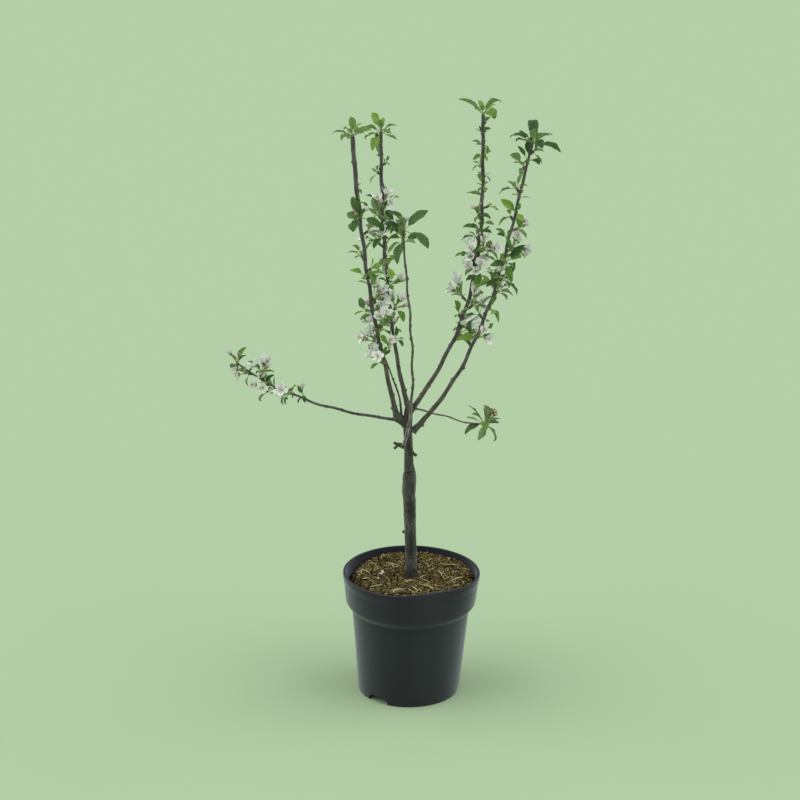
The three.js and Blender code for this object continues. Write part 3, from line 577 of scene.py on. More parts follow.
class Heap:
    """Gathers many small closed surfaces into one mesh, with a material for each."""

    def __init__(self, name, *materials):
        self.name = name
        self.materials = materials
        self.count = 0
        self.points, self.cells, self.slots = [], {4: [], 3: []}, {4: [], 3: []}

    def add(self, surface, material):
        """Adds a surface: its points, and its quads and triangles as rows of points' numbers."""
        points, quads, tris = surface
        slot = self.materials.index(material)
        for corners, cells in ((4, quads), (3, tris)):
            cells = np.asarray(cells, int).reshape(-1, corners) + self.count
            self.cells[corners].append(cells)
            self.slots[corners].append(np.full(len(cells), slot))
        self.points.append(points)
        self.count += len(points)

    def add_cells(self, points, quads, tris, material):
        """More cells over the points that were added last."""
        self.count -= len(points)
        self.add((points[:0], quads, tris), material)
        self.count += len(points)

    def add_sheet(self, sheet, upper, lower):
        """A thin sheet with one material on each side."""
        points, upper_cells, lower_cells = sheet
        self.add((points, *upper_cells), upper)
        self.add_cells(points, *lower_cells, lower)

    def build(self, sharp=FOLD):
        cells = [np.concatenate(self.cells[corners]) for corners in (4, 3)]
        mesh = new_mesh(self.name, np.concatenate(self.points), *cells)
        slots = np.concatenate(self.slots[4] + self.slots[3])
        mesh.polygons.foreach_set("material_index", slots.astype(np.int32))
        return finished(mesh, sharp, self.materials)


@lru_cache(maxsize=None)
def grid_quads(rows, columns):
    """The cells of a grid of points that closes round its columns."""
    here = np.arange(columns)
    corners = np.stack([here, (here + 1) % columns, (here + 1) % columns + columns, here + columns],
                       axis=1)
    return np.concatenate([corners + row * columns for row in range(rows - 1)])


def rings_surface(rings):
    """A closed surface over rings of points, from first to last, with a point in each end."""
    rings = np.asarray(rings)
    rows, columns = rings.shape[:2]
    count = rows * columns
    points = np.concatenate([rings.reshape(-1, 3), [rings[0].mean(axis=0)], [rings[-1].mean(axis=0)]])
    here = np.arange(columns)
    after = (here + 1) % columns
    last = count - columns
    first_cap = np.stack([np.full(columns, count), after, here], axis=1)
    last_cap = np.stack([np.full(columns, count + 1), last + here, last + after], axis=1)
    return points, grid_quads(rows, columns), np.concatenate([first_cap, last_cap])


def tube(middles, radii, sides):
    """A closed round tube along points."""
    middles = np.asarray(middles, float)
    radii = np.broadcast_to(radii, len(middles))
    tangents = np.gradient(middles, axis=0)
    across = square_to(unit(tangents[0]))
    rings = []
    for middle, tangent, radius in zip(middles, tangents, radii):
        tangent = unit(tangent)
        across = unit(across - tangent * (across @ tangent))
        rings.append(middle + radius * circle(turns(sides), across, np.cross(tangent, across)))
    return rings_surface(rings)


def bent(start, leave, arrive, end, steps):
    """Points along a smooth line that leaves and arrives in given directions."""
    reach = np.linalg.norm(end - start) / 3
    t = np.linspace(0, 1, steps + 1)[:, None]
    return cubic((start, start + leave * reach, end - arrive * reach, end), t)


def round_body(foot, axis, profile, sides, lobes=0, depth=0, twist=0):
    """A closed body round an axis from pairs of height and radius, with lobes that may twist."""
    side = square_to(axis)
    front = np.cross(axis, side)
    angles = turns(sides)
    rings = []
    for height, radius in profile:
        swell = radius * (1 + depth * np.cos(lobes * angles))[:, None]
        turned = angles + twist * height / profile[-1][0]
        rings.append(foot + axis * height + swell * circle(turned, side, front))
    return rings_surface(rings)


@lru_cache(maxsize=None)
def sheet_cells(rows, columns):
    """The cells of both sides of a thin closed sheet that narrows to a point."""
    upper = np.arange(rows * columns + columns).reshape(rows + 1, columns)
    upper[rows] = rows * columns
    lower = upper.copy()
    inner = (rows - 1) * (columns - 2)
    lower[1:rows, 1:-1] = rows * columns + 1 + np.arange(inner).reshape(rows - 1, columns - 2)

    def cells(numbers, step):
        corners = np.stack([numbers[:-1, :-1], numbers[:-1, 1:], numbers[1:, 1:], numbers[1:, :-1]],
                           axis=-1)
        quads = corners[:-1].reshape(-1, 4)
        tris = corners[-1][:, :3].reshape(-1, 3)
        return quads[:, ::step], tris[:, ::step]

    return cells(upper, 1), cells(lower, -1)


def sheet_surface(middle, normals, thickness):
    """A thin closed sheet round a grid of points whose last row is its tip."""
    rows, columns = middle.shape[0] - 1, middle.shape[1]
    share = np.linspace(-1, 1, columns)[None, :, None]
    half = normals * (thickness / 2) * (1 - share**2)
    upper, lower = middle + half, middle - half
    points = np.concatenate([upper[:rows].reshape(-1, 3), middle[rows, :1],
                             lower[1:rows, 1:-1].reshape(-1, 3)])
    return points, *sheet_cells(rows, columns)


# --- Leaves

LEAF_CELLS = (22, 6)      # rows and columns of a leaf's grid
YOUNG_LEAF_CELLS = (10, 4)
LEAF_SHEET = 0.45         # thickness of a blade at its rib
LEAF_TEETH = 0.035        # depth of the margin's teeth, as a share of the half width
LEAF_FOOT = 0.07          # width at the stalk, in the same way
VEINS = 6                 # side veins on each side of the rib
VEIN_DEPTH = 0.028        # of the width
VEIN_SLANT = 1.3
EDGE_LAG = 1.7            # one edge's wave runs this far before the other's
CRINKLE_WAVES = (9, 5)    # along and across
PHASE = (0, 6.28)
LEAF_LOOK = ((-0.5, 0.5), (0.02, 0.16), (1.2, 2.6), PHASE)  # twist, wave height, waves, phase
CRINKLE = (0.15, 0.4)
HOOKED = 0.2              # this share of the leaves has a hooked tip
HOOK = (0.6, 2.2)
HOOK_START = 0.7
PETIOLE_RADII = (0.75, 0.5)
PETIOLE_ARCH = 0.16
RIB_RADII = (0.42, 0.1)
RIB_END = 0.85
FULL_STALK = 20           # shorter leaves have thinner stalks
STALK_SIDES = 5


def leaf_half_width(share):
    """An apple leaf's outline: broadest below its middle, with a drawn-out tip."""
    return np.maximum(np.sin(math.pi * share**0.85) ** 0.78, LEAF_FOOT * (share < 0.5))


def leaf_look(draw, crinkled):
    """What sets one leaf apart from the next."""
    shared = [draw.between(span) for span in LEAF_LOOK]
    crinkle = draw.between(CRINKLE) if crinkled else 0
    return *shared, crinkle, draw.between(HOOK) if draw() < HOOKED else 0


def leaf_blade(leaf, look, cells):
    """A blade folded along its rib, bent down to its tip, with veins, teeth and a waved edge."""
    rows, columns = cells
    twist, wave, waves, phase, crinkle, hook = look
    share = np.linspace(0, 1, rows + 1)[:, None]
    across_share = np.linspace(-1, 1, columns + 1)[None, :]
    forward, upper = leaf.forward, leaf.upper
    across = np.cross(forward, upper)
    bend = (math.radians(leaf.curl) * share
            + hook * np.maximum(0, share - HOOK_START) ** 2 / (1 - HOOK_START) ** 2)
    heading = forward * np.cos(bend) - upper * np.sin(bend)
    steps = (heading[1:] + heading[:-1]) / 2 * leaf.length / rows
    rib = leaf.root + forward * leaf.petiole + np.pad(np.cumsum(steps, axis=0), ((1, 0), (0, 0)))
    lift = upper * np.cos(bend) + forward * np.sin(bend)
    turn = twist * share
    sweep = across * np.cos(turn) + lift * np.sin(turn)
    lift = lift * np.cos(turn) - across * np.sin(turn)
    half = leaf.width / 2 * leaf_half_width(share)
    teeth = 1 - LEAF_TEETH * (-1.0) ** np.arange(rows + 1)[:, None]
    edge = np.abs(across_share)
    out = across_share * half * np.where(edge == 1, teeth, 1)
    fold = math.radians(leaf.fold)
    cup = half * np.sin(fold) * edge**1.3
    swing = np.sin(2 * math.pi * waves * share + phase + EDGE_LAG * np.sign(across_share))
    veins = (VEIN_DEPTH * leaf.width * np.cos(2 * math.pi * (VEINS * share - VEIN_SLANT * edge))
             * np.minimum(1, 4 * edge) * (1 - edge))
    creases = np.sin(CRINKLE_WAVES[0] * share + CRINKLE_WAVES[1] * across_share + phase)
    rise = cup + wave * half * edge**2 * swing + veins + crinkle * half * creases * edge
    middle = (rib[:, None] + sweep[:, None] * (out * np.cos(fold))[..., None]
              + lift[:, None] * rise[..., None])
    normals = np.broadcast_to(lift[:, None], middle.shape)
    return sheet_surface(middle, normals, LEAF_SHEET), rib, lift


def add_leaf(heaps, leaf, look, upper, cells):
    """A leaf's blade, its stalk and the rib that runs on beneath the blade."""
    blade, rib, lift = leaf_blade(leaf, look, cells)
    heaps["leaves"].add_sheet(blade, upper, "leaf_under")
    arch = leaf.upper * PETIOLE_ARCH
    leave, arrive = unit(leaf.forward + 2 * arch), unit(leaf.forward - arch)
    stalk = bent(leaf.root - leaf.forward, leave, arrive, rib[0], 4)
    below = [rib[k] - lift[k] * LEAF_SHEET * 0.4 for k in range(1, int(cells[0] * RIB_END), 3)]
    radii = [*np.linspace(*PETIOLE_RADII, len(stalk)), *np.linspace(*RIB_RADII, len(below))]
    thick = min(1, leaf.length / FULL_STALK)
    heaps["stalks"].add(tube([*stalk, *below], np.array(radii) * thick, STALK_SIDES), "petiole")


# --- Blossoms and buds

PETAL_CELLS = (7, 4)
PETAL_SHEET = 0.35
PETAL_CLAW = 1.3          # the petals start this far from the middle
PETAL_RUFFLE = 0.07
PETAL_CUP = 0.2           # how far the edges rise, of the half width
PETAL_DROOP = 0.05        # of the tip
PETAL_JITTER = (-6, 6)
PETAL_LENGTH = (0.82, 1.04)  # of the blossom's radius, as is the width
PETAL_WIDTH = (0.68, 0.95)
PETAL_RISE = (0.6, 1.6)   # of the blossom's
PETAL_ROLL = (-0.45, 0.45)
BLUSHED = 0.3             # the share of the blossoms with a blush beneath
CUP_SPREAD = (0.25, 0.95)  # how far the petals rise, as a share of the blossom's radius
HALF_OPEN_RISE = 0.7      # and how much more in a half-open one
STAMENS = 15
STAMEN_LENGTH = (4.5, 7.5)
STAMEN_SPLAY = (5, 38)
FADED_STAMENS = 1.15      # the longer stamens of a faded flower
SEPALS = 5
SEPAL_RADII = (0.8, 0.75, 0.5, 0.1)
SEPAL_LENGTH = 1.25       # of the calyx's width
OPEN_CALYX = (3, 105)     # width, and how far the sepals open
FADED_CALYX = (3.2, 50)
BUD_CALYX = (1.3, 24)     # this width is a share of the bud's girth
HEART_PROFILE = [(0, 1.4), (0.9, 1.7), (1.5, 0.8)]
ANTHER_PROFILE = [(0, 0.3), (0.6, 0.62), (1.3, 0.25)]
FILAMENT_RADII = (0.28, 0.2, 0.15)
CUP_SIDES = 7
PEDICEL_RADII = (0.6, 0.75)
PEDICEL_BOW = 0.35
PEDICEL_BOWS = ((-1, 1), (-0.6, 0.6))
SWOLLEN_BUD = 7.6         # longer buds are pale, plump and about to open
PINK_BUDS = 0.6           # of the smaller ones; the rest are darker
BUD_GIRTHS = (0.33, 0.4)  # of the length, small and swollen
BUD_SHAPE = {"sides": 15, "lobes": 5, "depth": 0.07, "twist": 0.9}
BUD_PROFILE = [(0, 0.5), (0.12, 0.72), (0.3, 0.94), (0.5, 1), (0.72, 0.8), (0.9, 0.42), (1, 0.1)]


def petal(blossom, foot, out, rise, draw):
    """One obovate petal with a narrow claw, cupped along and across."""
    rows, columns = PETAL_CELLS
    axis = blossom.forward
    size = blossom.size * draw.between(PETAL_LENGTH)
    rise *= draw.between(PETAL_RISE)
    width = blossom.size * draw.between(PETAL_WIDTH)
    roll, phase = draw.between(PETAL_ROLL), draw.between(PHASE)
    share = np.sin(math.pi / 2 * np.linspace(0, 1, rows + 1))[:, None]
    across_share = np.linspace(-1, 1, columns + 1)[None, :]
    across = np.cross(axis, out)
    half = width / 2 * np.minimum(1, 0.16 + 1.5 * share**0.8) * np.sqrt(np.maximum(0, 1 - share**6))
    reach = PETAL_CLAW + (size - PETAL_CLAW) * share
    height = rise * size * share**1.5 - PETAL_DROOP * size * share**5
    ruffle = PETAL_RUFFLE * size * share * np.sin(3 * across_share + 6 * share + phase)
    lift = height + PETAL_CUP * half * across_share**2 + ruffle * np.abs(across_share)
    sweep = across * math.cos(roll) + axis * math.sin(roll)
    middle = (foot + out * reach[..., None] + axis * lift[..., None]
              + sweep * (across_share * half)[..., None])
    slope = math.atan(1.5 * rise)
    normal = axis * math.cos(slope) - out * math.sin(slope)
    return sheet_surface(middle, np.broadcast_to(normal, middle.shape), PETAL_SHEET)


def add_stalk(heaps, flower, draw):
    """A blossom's or bud's stalk, rooted in the spur and a little bowed."""
    root, forward, end, _ = flower
    sideways, upwards = (draw.between(span) for span in PEDICEL_BOWS)
    bow = square_to(forward) * sideways + UP * upwards
    line = bent(root - forward, unit(forward + PEDICEL_BOW * bow), forward, end, 5)
    heaps["stalks"].add(tube(line, np.linspace(*PEDICEL_RADII, len(line)), STALK_SIDES), "pedicel")


def add_calyx(heaps, flower, width, spread, draw):
    """The swollen cup under a flower and its five pointed sepals."""
    _, forward, end, _ = flower
    cup = [(-2.4, 0.7), (-1.4, 0.34 * width), (-0.2, 0.5 * width), (0.5, 0.42 * width)]
    heaps["blossom"].add(round_body(end, forward, cup, CUP_SIDES), "calyx")
    turn = 360 * draw()
    for k in range(SEPALS):
        out = splayed(forward, spread, turn + 360 * k / SEPALS)[0]
        foot = end + out * 0.3 * width
        points = bent(foot, forward, out, foot + out * SEPAL_LENGTH * width, 3)
        heaps["blossom"].add(tube(points, SEPAL_RADII, 4), "calyx")


def add_stamens(heaps, end, forward, scale, filament, anther, draw):
    for k in range(STAMENS):
        lean = draw.between(STAMEN_SPLAY)
        out = splayed(forward, lean, GOLDEN_ANGLE * k)[0]
        tip = end + out * (draw.between(STAMEN_LENGTH) * scale)
        foot = end + out * 0.5
        thread = tube([foot, (foot + tip) / 2 + forward * 0.3, tip], FILAMENT_RADII, 3)
        heaps["blossom"].add(thread, filament)
        head = round_body(tip - out * 0.4, out, ANTHER_PROFILE, 5)
        heaps["blossom"].add(head, anther)


def add_blossom(heaps, blossom, draw):
    """An open flower: five cupped petals round a tuft of stamens."""
    _, forward, end, size = blossom
    add_stalk(heaps, blossom, draw)
    add_calyx(heaps, blossom, *OPEN_CALYX, draw)
    rise = draw.between(CUP_SPREAD) + (HALF_OPEN_RISE if size < HALF_OPEN_RADIUS[1] else 0)
    turn = 360 * draw()
    lower = "petal_blush" if draw() < BLUSHED else "petal_back"
    for k in range(PETALS):
        _, out = splayed(forward, 90, turn + 72 * k + draw.between(PETAL_JITTER))
        foot = end + forward * (0.5 + 0.2 * (k % 2))
        heaps["blossom"].add_sheet(petal(blossom, foot, out, rise, draw), "petal", lower)
    heart = round_body(end, forward, HEART_PROFILE, CUP_SIDES)
    heaps["blossom"].add(heart, "heart")
    add_stamens(heaps, end + forward, forward, 1, "filament", "anther", draw)


def add_bud(heaps, bud, draw):
    """A closed bud: a tight pink one where it is small, a pale swollen one where it is large."""
    _, forward, end, size = bud
    add_stalk(heaps, bud, draw)
    swollen = size > SWOLLEN_BUD
    girth = size * BUD_GIRTHS[swollen]
    profile = [(height * size, share * girth) for height, share in BUD_PROFILE]
    shade = "bud_pale" if swollen else "bud_pink" if draw() < PINK_BUDS else "bud_rose"
    heaps["blossom"].add(round_body(end, forward, profile, **BUD_SHAPE), shade)
    add_calyx(heaps, bud, girth * BUD_CALYX[0], BUD_CALYX[1], draw)


def add_faded_blossom(heaps, bud, draw):
    """A flower that has dropped its petals, with browned stamens that stand up."""
    add_stalk(heaps, bud, draw)
    add_calyx(heaps, bud, *FADED_CALYX, draw)
    add_stamens(heaps, bud.end, bud.forward, FADED_STAMENS, "faded_filament", "faded_anther", draw)


# --- Spurs and limbs

SPUR_RADII = (1.5, 1.35, 1.65, 1.5, 2.0, 1.9, 2.5, 2.2, 0.9)  # ringed by old scars to its knuckle
SPUR_SIDES = 8
SPUR_END = 0.4            # of the knuckle lies beyond the spray's root
LIMB_STEP = 1.4
LIMB_SIDES = 20
LIMB_LUMPS = 0.045        # of the radius
LUMP_SIZE = 9
LIMB_GRAIN = 0.1
GRAIN_SIZE = 1.6
ALONG_WOOD = [1, 1, 0.25]  # the grain is drawn out upwards
NODE_SPREAD = 1.1         # the least spread of a bud node
NODE_WIDTH = 0.75         # its spread round the limb, of that along it
NODE_GAP = 24             # between the small bud nodes along a limb
NODE_GAPS = (0.6, 1.3)
NODE_RISE = 0.55
NODE_RISES = (0.6, 1.4)
NODE_END = 8              # none nearer to a limb's tip
NODE_RING = 0.16          # how far the wood swells all round where a bud sits, and how long
NODE_RING_SPREAD = 2.2

# Bud nodes that stand out on the bare wood: share of the limb's length, side (-1 is left, 1
# right, as seen from the front) and height.
KNOBS = {
    "left_front": [(0.05, -1, 2.4), (0.097, 1, 1.2), (0.588, -1, 1.5), (0.82, 1, 1.4),
                   (0.918, -1, 1.2)],
    "left_back": [(0.07, 1, 2.0), (0.11, -1, 1.0), (0.818, 1, 1.3), (0.873, -1, 1.1)],
    "right_back": [(0.07, -1, 1.1), (0.107, 1, 1.6), (0.18, -1, 0.9), (0.255, -1, 1.2),
                   (0.278, 1, 1.6)],
    "right_front": [(0.035, 1, 3.0), (0.12, -1, 0.9), (0.21, -1, 1.8), (0.26, 1, 2.2),
                    (0.448, -1, 1.0), (0.473, 1, 1.9)],
    "middle": [(0.058, 1, 1.3), (0.113, -1, 1.2), (0.19, 1, 1.3), (0.295, -1, 1.4), (0.335, 1, 1.5),
               (0.438, -1, 0.9), (0.49, 1, 1.4), (0.525, -1, 1.4), (0.585, 1, 1.3), (0.67, -1, 1.4),
               (0.72, 1, 1.4), (0.797, 1, 1.8), (0.85, -1, 1.1)],
    "far_left": [(0.152, 1, 1.1), (0.263, -1, 1.2), (0.36, 1, 0.9), (0.45, -1, 1.0)],
    "far_right": [(0.2, 1, 0.7), (0.36, -1, 0.9), (0.55, 1, 0.7), (0.743, -1, 1.0)],
    "inner_left": [(0.2, 1, 0.7), (0.448, 1, 1.4), (0.53, 1, 1.1), (0.68, -1, 0.9)],
}

# Limbs whose foot has a groove down its front with painted shade in it, as if it were two strands, and
# for how long.
GROOVED_FEET = {"middle": 76}
GROOVE_DEPTH = 0.9
GROOVE_SPREAD = 0.35
GROOVE_FADE = 16
# The groove's faces keep the limb's darker bark: a painted shade.
GROOVE_SHADE_COLUMNS = (4, 5)   # the two faces across a limb that look to the front

# The bark of a limb's foot, for so many rows. The others have their own bark from the root.
FOOT_BARK = {"middle": ("bark_pale", 58), "left_front": ("bark_olive", 120),
             "left_back": ("bark_olive", 90), "right_back": ("bark_olive", 70),
             "right_front": ("bark_olive", 60)}
YOUNG_WOOD = ("middle", "far_right", "inner_left")


def add_spur(heap, spray):
    """A short spur ringed by the scars of past years, with a swollen end."""
    end = spray.root + unit(spray.root - spray.foot) * KNUCKLE_DIAMETER * SPUR_END
    share = np.linspace(0, 1, len(SPUR_RADII))[:, None]
    heap.add(tube(spray.foot * (1 - share) + end * share, SPUR_RADII, SPUR_SIDES), "spur_bark")


def limb_knobs(name, path, draw):
    """The bud nodes that show in front, and a spiral of small ones all along."""
    knobs = [(share, 180 if side < 0 else 0, height) for share, side, height in KNOBS[name]]
    heading, place = 360 * draw(), NODE_GAP
    while place < path.length - NODE_END:
        heading += GOLDEN_ANGLE
        knobs.append((place / path.length, heading, NODE_RISE * draw.between(NODE_RISES)))
        place += NODE_GAP * draw.between(NODE_GAPS)
    return knobs


def knob_relief(path, arc, angle, rows, knobs):
    """How far the bark stands out where buds sit on it."""
    relief = np.zeros((len(arc), len(angle)))
    for share, heading, height in knobs:
        _, _, side, front, diameter = rows[np.abs(arc - share * path.length).argmin()]
        level = direction(0, heading)
        towards = math.atan2(level @ front, level @ side)
        off = (angle - towards + math.pi) % (2 * math.pi) - math.pi
        spread = max(NODE_SPREAD, height)
        around = np.exp(-(off * diameter / 2 / (NODE_WIDTH * spread)) ** 2)
        lengthways = np.exp(-((arc - share * path.length) / spread) ** 2)
        ring = NODE_RING * np.exp(-((arc - share * path.length) / NODE_RING_SPREAD) ** 2)
        relief += height * lengthways[:, None] * around[None, :] + ring[:, None]
    return relief


def limb_surface(name, draw):
    """A limb from its root to its tip, with lumps, ring scars, grain and bud nodes."""
    path = PATHS[name]
    shares = np.linspace(0, 1, int(path.length / LIMB_STEP) + 1)
    arc = shares * path.length
    angle = turns(LIMB_SIDES)
    rows = [path.at(share) for share in shares]
    relief = knob_relief(path, arc, angle, rows, limb_knobs(name, path, draw))
    if name in GROOVED_FEET:
        depth = GROOVE_DEPTH * np.clip((GROOVED_FEET[name] - arc) / GROOVE_FADE, 0, 1)
        relief -= depth[:, None] * np.exp(-((angle - math.pi / 2) / GROOVE_SPREAD) ** 2)
    rings = []
    for (middle, _, side, front, diameter), stands_out in zip(rows, relief):
        radius = diameter / 2
        around = circle(angle, side, front)
        bark = middle + radius * around
        rough = (1 + LIMB_LUMPS * ripple(bark, LUMP_SIZE, 3)) * radius
        grain = LIMB_GRAIN * ripple(bark * ALONG_WOOD, GRAIN_SIZE, 5)
        rings.append(middle + around * (rough + grain + stands_out)[:, None])
    return rings_surface(rings)


def build_limb(name, draw):
    """A limb with its own bark, and another on its foot but for the foot's groove, where its own darker
    bark is a painted shade.
    """
    bark = "bark_young" if name in YOUNG_WOOD else "bark_grey"
    foot, rows = FOOT_BARK.get(name, ("bark_pale", 0))
    heap = Heap(f"limb_{name}", bark, foot)
    points, quads, tris = limb_surface(name, draw)
    cells = np.arange(len(quads))
    on_foot = cells < LIMB_SIDES * rows
    # The groove keeps the darker bark, a painted shade.
    if name in GROOVED_FEET:
        on_foot &= ~np.isin(cells % LIMB_SIDES, GROOVE_SHADE_COLUMNS)
    heap.add((points, quads[~on_foot], tris), bark)
    heap.add_cells(points, quads[on_foot], [], foot)
    return heap.build()


# --- Trunk

# Height above the mix, sideways place and diameter of each ring.
TRUNK_RINGS = [
    (0, 0.6, 22.6), (5, 0.6, 20.8), (14, 0.7, 19.6), (40, 0.7, 18.8), (72, -0.4, 18.4),
    (104, -0.8, 18.7), (128, -1.3, 19), (140, -2.8, 20.4), (154, -2.4, 20.8), (167, -1.9, 20.4),
    (176, -1.8, 18.8), (187, -2.5, 15.6), (198, -3, 14.4), (222, -3.4, 14), (250, -4.4, 14.2),
    (266, -4, 14), (280, -3.2, 12.6), (291, -2, 9.6), (295, -1.6, 6),
]
TRUNK_STEP = 3
TRUNK_SIDES = 48
TRUNK_LUMPS = 0.035
BUTTRESSES = 5
BUTTRESS_DEPTH = 0.1
FLARE_HEIGHT = 16
TRUNK_CELL = 0.8          # the size to which the joined wood is meshed again
BARK_FOLD = 80

# The shoulder that bears the limbs on the left, and the pruned stubs: height, lift, heading,
# reach, diameters at the root and the end, and any prongs by their lift, heading and so on.
STUBS = [
    (253, 38, 197, 22, 16, 11),
    (219, 14, 197, 19.5, 13, 6.5, [(30, 195, 8, 5.4, 4.4), (-33, 200, 8.5, 5, 4)]),
    (214, -35, -15, 15, 8, 5), (74, 10, 170, 12, 8, 4.5),
]
STUB_SPARE = 1.0          # the smoothing takes this off a stub's end
STUB_SHARES = np.array([0, 0.35, 0.7, 0.86, 0.97, 1])
STUB_SWELL = [1, 0.97, 1.02, 1.14, 1.08, 0.8]
STUB_TAPER = 0.7          # a stub is thin from this share of its length
STUB_SIDES = 12
PRONG_START = 0.86

COLLAR_LENGTH = 34        # of each limb's foot, which the trunk's piece takes in
COLLAR_LENGTHS = {"middle": 8}
COLLAR_ROWS = 14
COLLAR_SIDES = 16
# A foot is thicker where it leaves the trunk, and slips under the limb's own bark at its end.
COLLAR_SWELL = ([0, 0.25, 0.6, 1], [0.42, 0.336, 0.06, -0.16])

# Height of each cross crease above the floor, and its depth.
BARK_CREASES = [(382, 0.5), (369, 1.1), (352, 0.35), (327, 0.6), (298, 0.35), (262, 0.3), (412, 0.5)]
# Dark patches and painted shade: height above the floor, heading round the trunk, half its height and
# half its width.
# The first is painted shade in the cross crease at 369, and the second painted shade in a pit.
DARK_BARK_AND_SHADE = [(369, 292, 2.6, 9), (357, 208, 3, 2.4), (305, 282, 22, 7), (342, 300, 10, 3.4),
               (404, 285, 16, 4), (246, 275, 30, 3.4), (262, 96, 30, 6), (350, 100, 14, 8)]
MOSS_HEIGHT = 15          # above the mix, at the trunk's foot
AXIS_STEP = 5             # the stains follow the trunk's middle in steps of this


def trunk_middle(height):
    heights, places, _ = np.array(TRUNK_RINGS, float).T
    return np.array([np.interp(height, heights, places), 0, SOIL_LEVEL + CLEARANCE + height])


def trunk_surface():
    heights, _, diameters = np.array(TRUNK_RINGS, float).T
    angle = turns(TRUNK_SIDES)
    rings = []
    for height in np.arange(0, heights[-1], TRUNK_STEP):
        flare = max(0, 1 - height / FLARE_HEIGHT)
        lump = np.sin(3 * angle + height / 23) + 0.7 * np.sin(2 * angle - height / 31)
        buttress = BUTTRESS_DEPTH * flare * np.sin(BUTTRESSES * angle + 1)
        radius = np.interp(height, heights, diameters) / 2 * (1 + TRUNK_LUMPS * lump + buttress)
        rings.append(trunk_middle(height) + radius[:, None] * circle(angle, RIGHT, BACK))
    return rings_surface(rings)


def add_stub(heap, start, lift, heading, reach, thick, thin, prongs=()):
    """A stub with a slightly swollen, rounded cut, and the prongs that it ends in."""
    forward = direction(lift, heading)
    radii = np.interp(STUB_SHARES, [0, STUB_TAPER, 1], [thick, thin, thin]) / 2 * STUB_SWELL
    line = start + forward * (STUB_SHARES * (reach + STUB_SPARE))[:, None]
    heap.add(tube(line, radii, STUB_SIDES), "bark_old")
    for prong in prongs:
        add_stub(heap, start + forward * reach * PRONG_START, *prong)


def collar_surface(name):
    """The foot of a limb as it grows out of the trunk."""
    path = PATHS[name]
    shares = np.linspace(0, COLLAR_LENGTHS.get(name, COLLAR_LENGTH) / path.length, COLLAR_ROWS)
    rows = [path.at(share) for share in shares]
    swell = np.interp(np.linspace(0, 1, COLLAR_ROWS), *COLLAR_SWELL)
    diameters = np.array([row[4] for row in rows])
    return tube([row[0] for row in rows], diameters / 2 * (1 + swell), COLLAR_SIDES)


def bark_relief(points):
    """How far the trunk's bark stands out: long ridges, small warts and a few cross creases."""
    height = points[:, 2]
    ridges = 0.3 * ripple(points * [1, 1, 0.16], 3.2, 11)
    ridges += 0.16 * ripple(points * [1, 1, 0.3], 1.5, 12)
    warts = np.maximum(0, ripple(points, 2.4, 13) - 1.25) * 0.5
    waver = 0.8 * ripple(points, 7, 14)
    creases = sum(-depth * np.exp(-((height + waver - level) / 0.9) ** 2)
                  for level, depth in BARK_CREASES)
    return ridges + warts + creases


def bark_shade(middles):
    """The number of each face's bark: plain; darker, in patches and as painted shade in a crease and a
    pit; or mossy.
    """
    x, y, z = middles.T
    heights = np.arange(0, TRUNK_RINGS[-1][0] + AXIS_STEP, AXIS_STEP)
    x = x - np.interp(z - SOIL_LEVEL, heights, [trunk_middle(height)[0] for height in heights])
    radius, heading = np.hypot(x, y), np.degrees(np.arctan2(y, x))
    broken = 0.45 * ripple(middles, 4, 15) + 0.3 * ripple(middles, 1.8, 16)
    shade = np.zeros(len(middles), int)
    for height, towards, tall, wide in DARK_BARK_AND_SHADE:
        off = np.radians(turned_from(heading, towards)) * radius
        shade[((z - height) / tall) ** 2 + (off / wide) ** 2 + broken < 0.8] = 1
    shade[z - SOIL_LEVEL + 6 * broken < MOSS_HEIGHT] = 2
    return shade


def build_trunk():
    """Trunk, stubs and the limbs' feet, grown into one body with its bark's relief."""
    heap = Heap("trunk_wood", "bark_old")
    heap.add(trunk_surface(), "bark_old")
    for height, *stub in STUBS:
        add_stub(heap, trunk_middle(height), *stub)
    for name in PATHS:
        heap.add(collar_surface(name), "bark_old")
    piece = heap.build()
    remesh = piece.modifiers.new("join", "REMESH")
    remesh.mode = "VOXEL"
    remesh.voxel_size = TRUNK_CELL * MM
    smooth = piece.modifiers.new("smooth", "SMOOTH")
    smooth.factor = 0.5
    smooth.iterations = 4
    joined = applied(piece)
    joined.name = "trunk_bark"
    points = vectors(joined.vertices, "co") / MM
    move_points(joined, points + vectors(joined.vertices, "normal") * bark_relief(points)[:, None])
    shades = bark_shade(vectors(joined.polygons, "center") / MM)
    joined.polygons.foreach_set("material_index", shades.astype(np.int32))
    return finished(joined, BARK_FOLD, ("bark_old", "bark_dark_and_shade", "bark_moss"))


# --- Pot

POT_HEIGHT = 200
POT_WALL = 1.8
POT_SIDES = 192
LIP_RADIUS = 109.5
LIP_HEIGHT = 5.5
LIP_ROUNDING = 0.9
LIP_FLARE = 14            # below the lip the band swells out to it over this height
BAND_TOP_RADIUS = 107.3
BAND_FOOT = (104.2, 154)  # radius and height
STEP = (93.4, 137)
BODY_FOOT = (83, 11)
BASE_RADIUS = 80
BASE_ROUNDING = 2.2
BASE_OFFSET = -2.5
LEAN = 4.2
RIM_FALL = 0.013
RIM_NOD = 0.017
DENT_DEPTH = 16
DENT_HEADING = 291
DENT_WIDTH = 30
DRAIN_HEADINGS = [232, 352, 112]
DRAIN_WIDTH = 38
DRAIN_HEIGHT = 11
DRAIN_START = 30
DRAIN_CHAMFER = 6
WRINKLE_HEIGHT = 139      # the faint uneven line where the band has drawn in
WRINKLE_DEPTH = 0.22
POT_FOLD = 35
# Faces that look up take a paler finish with little sheen, a painted highlight. Faces that look down
# take one with less sheen, a painted shade.
FLAT_SLOPE = 0.3          # faces that look up or down more than this have finishes of their own


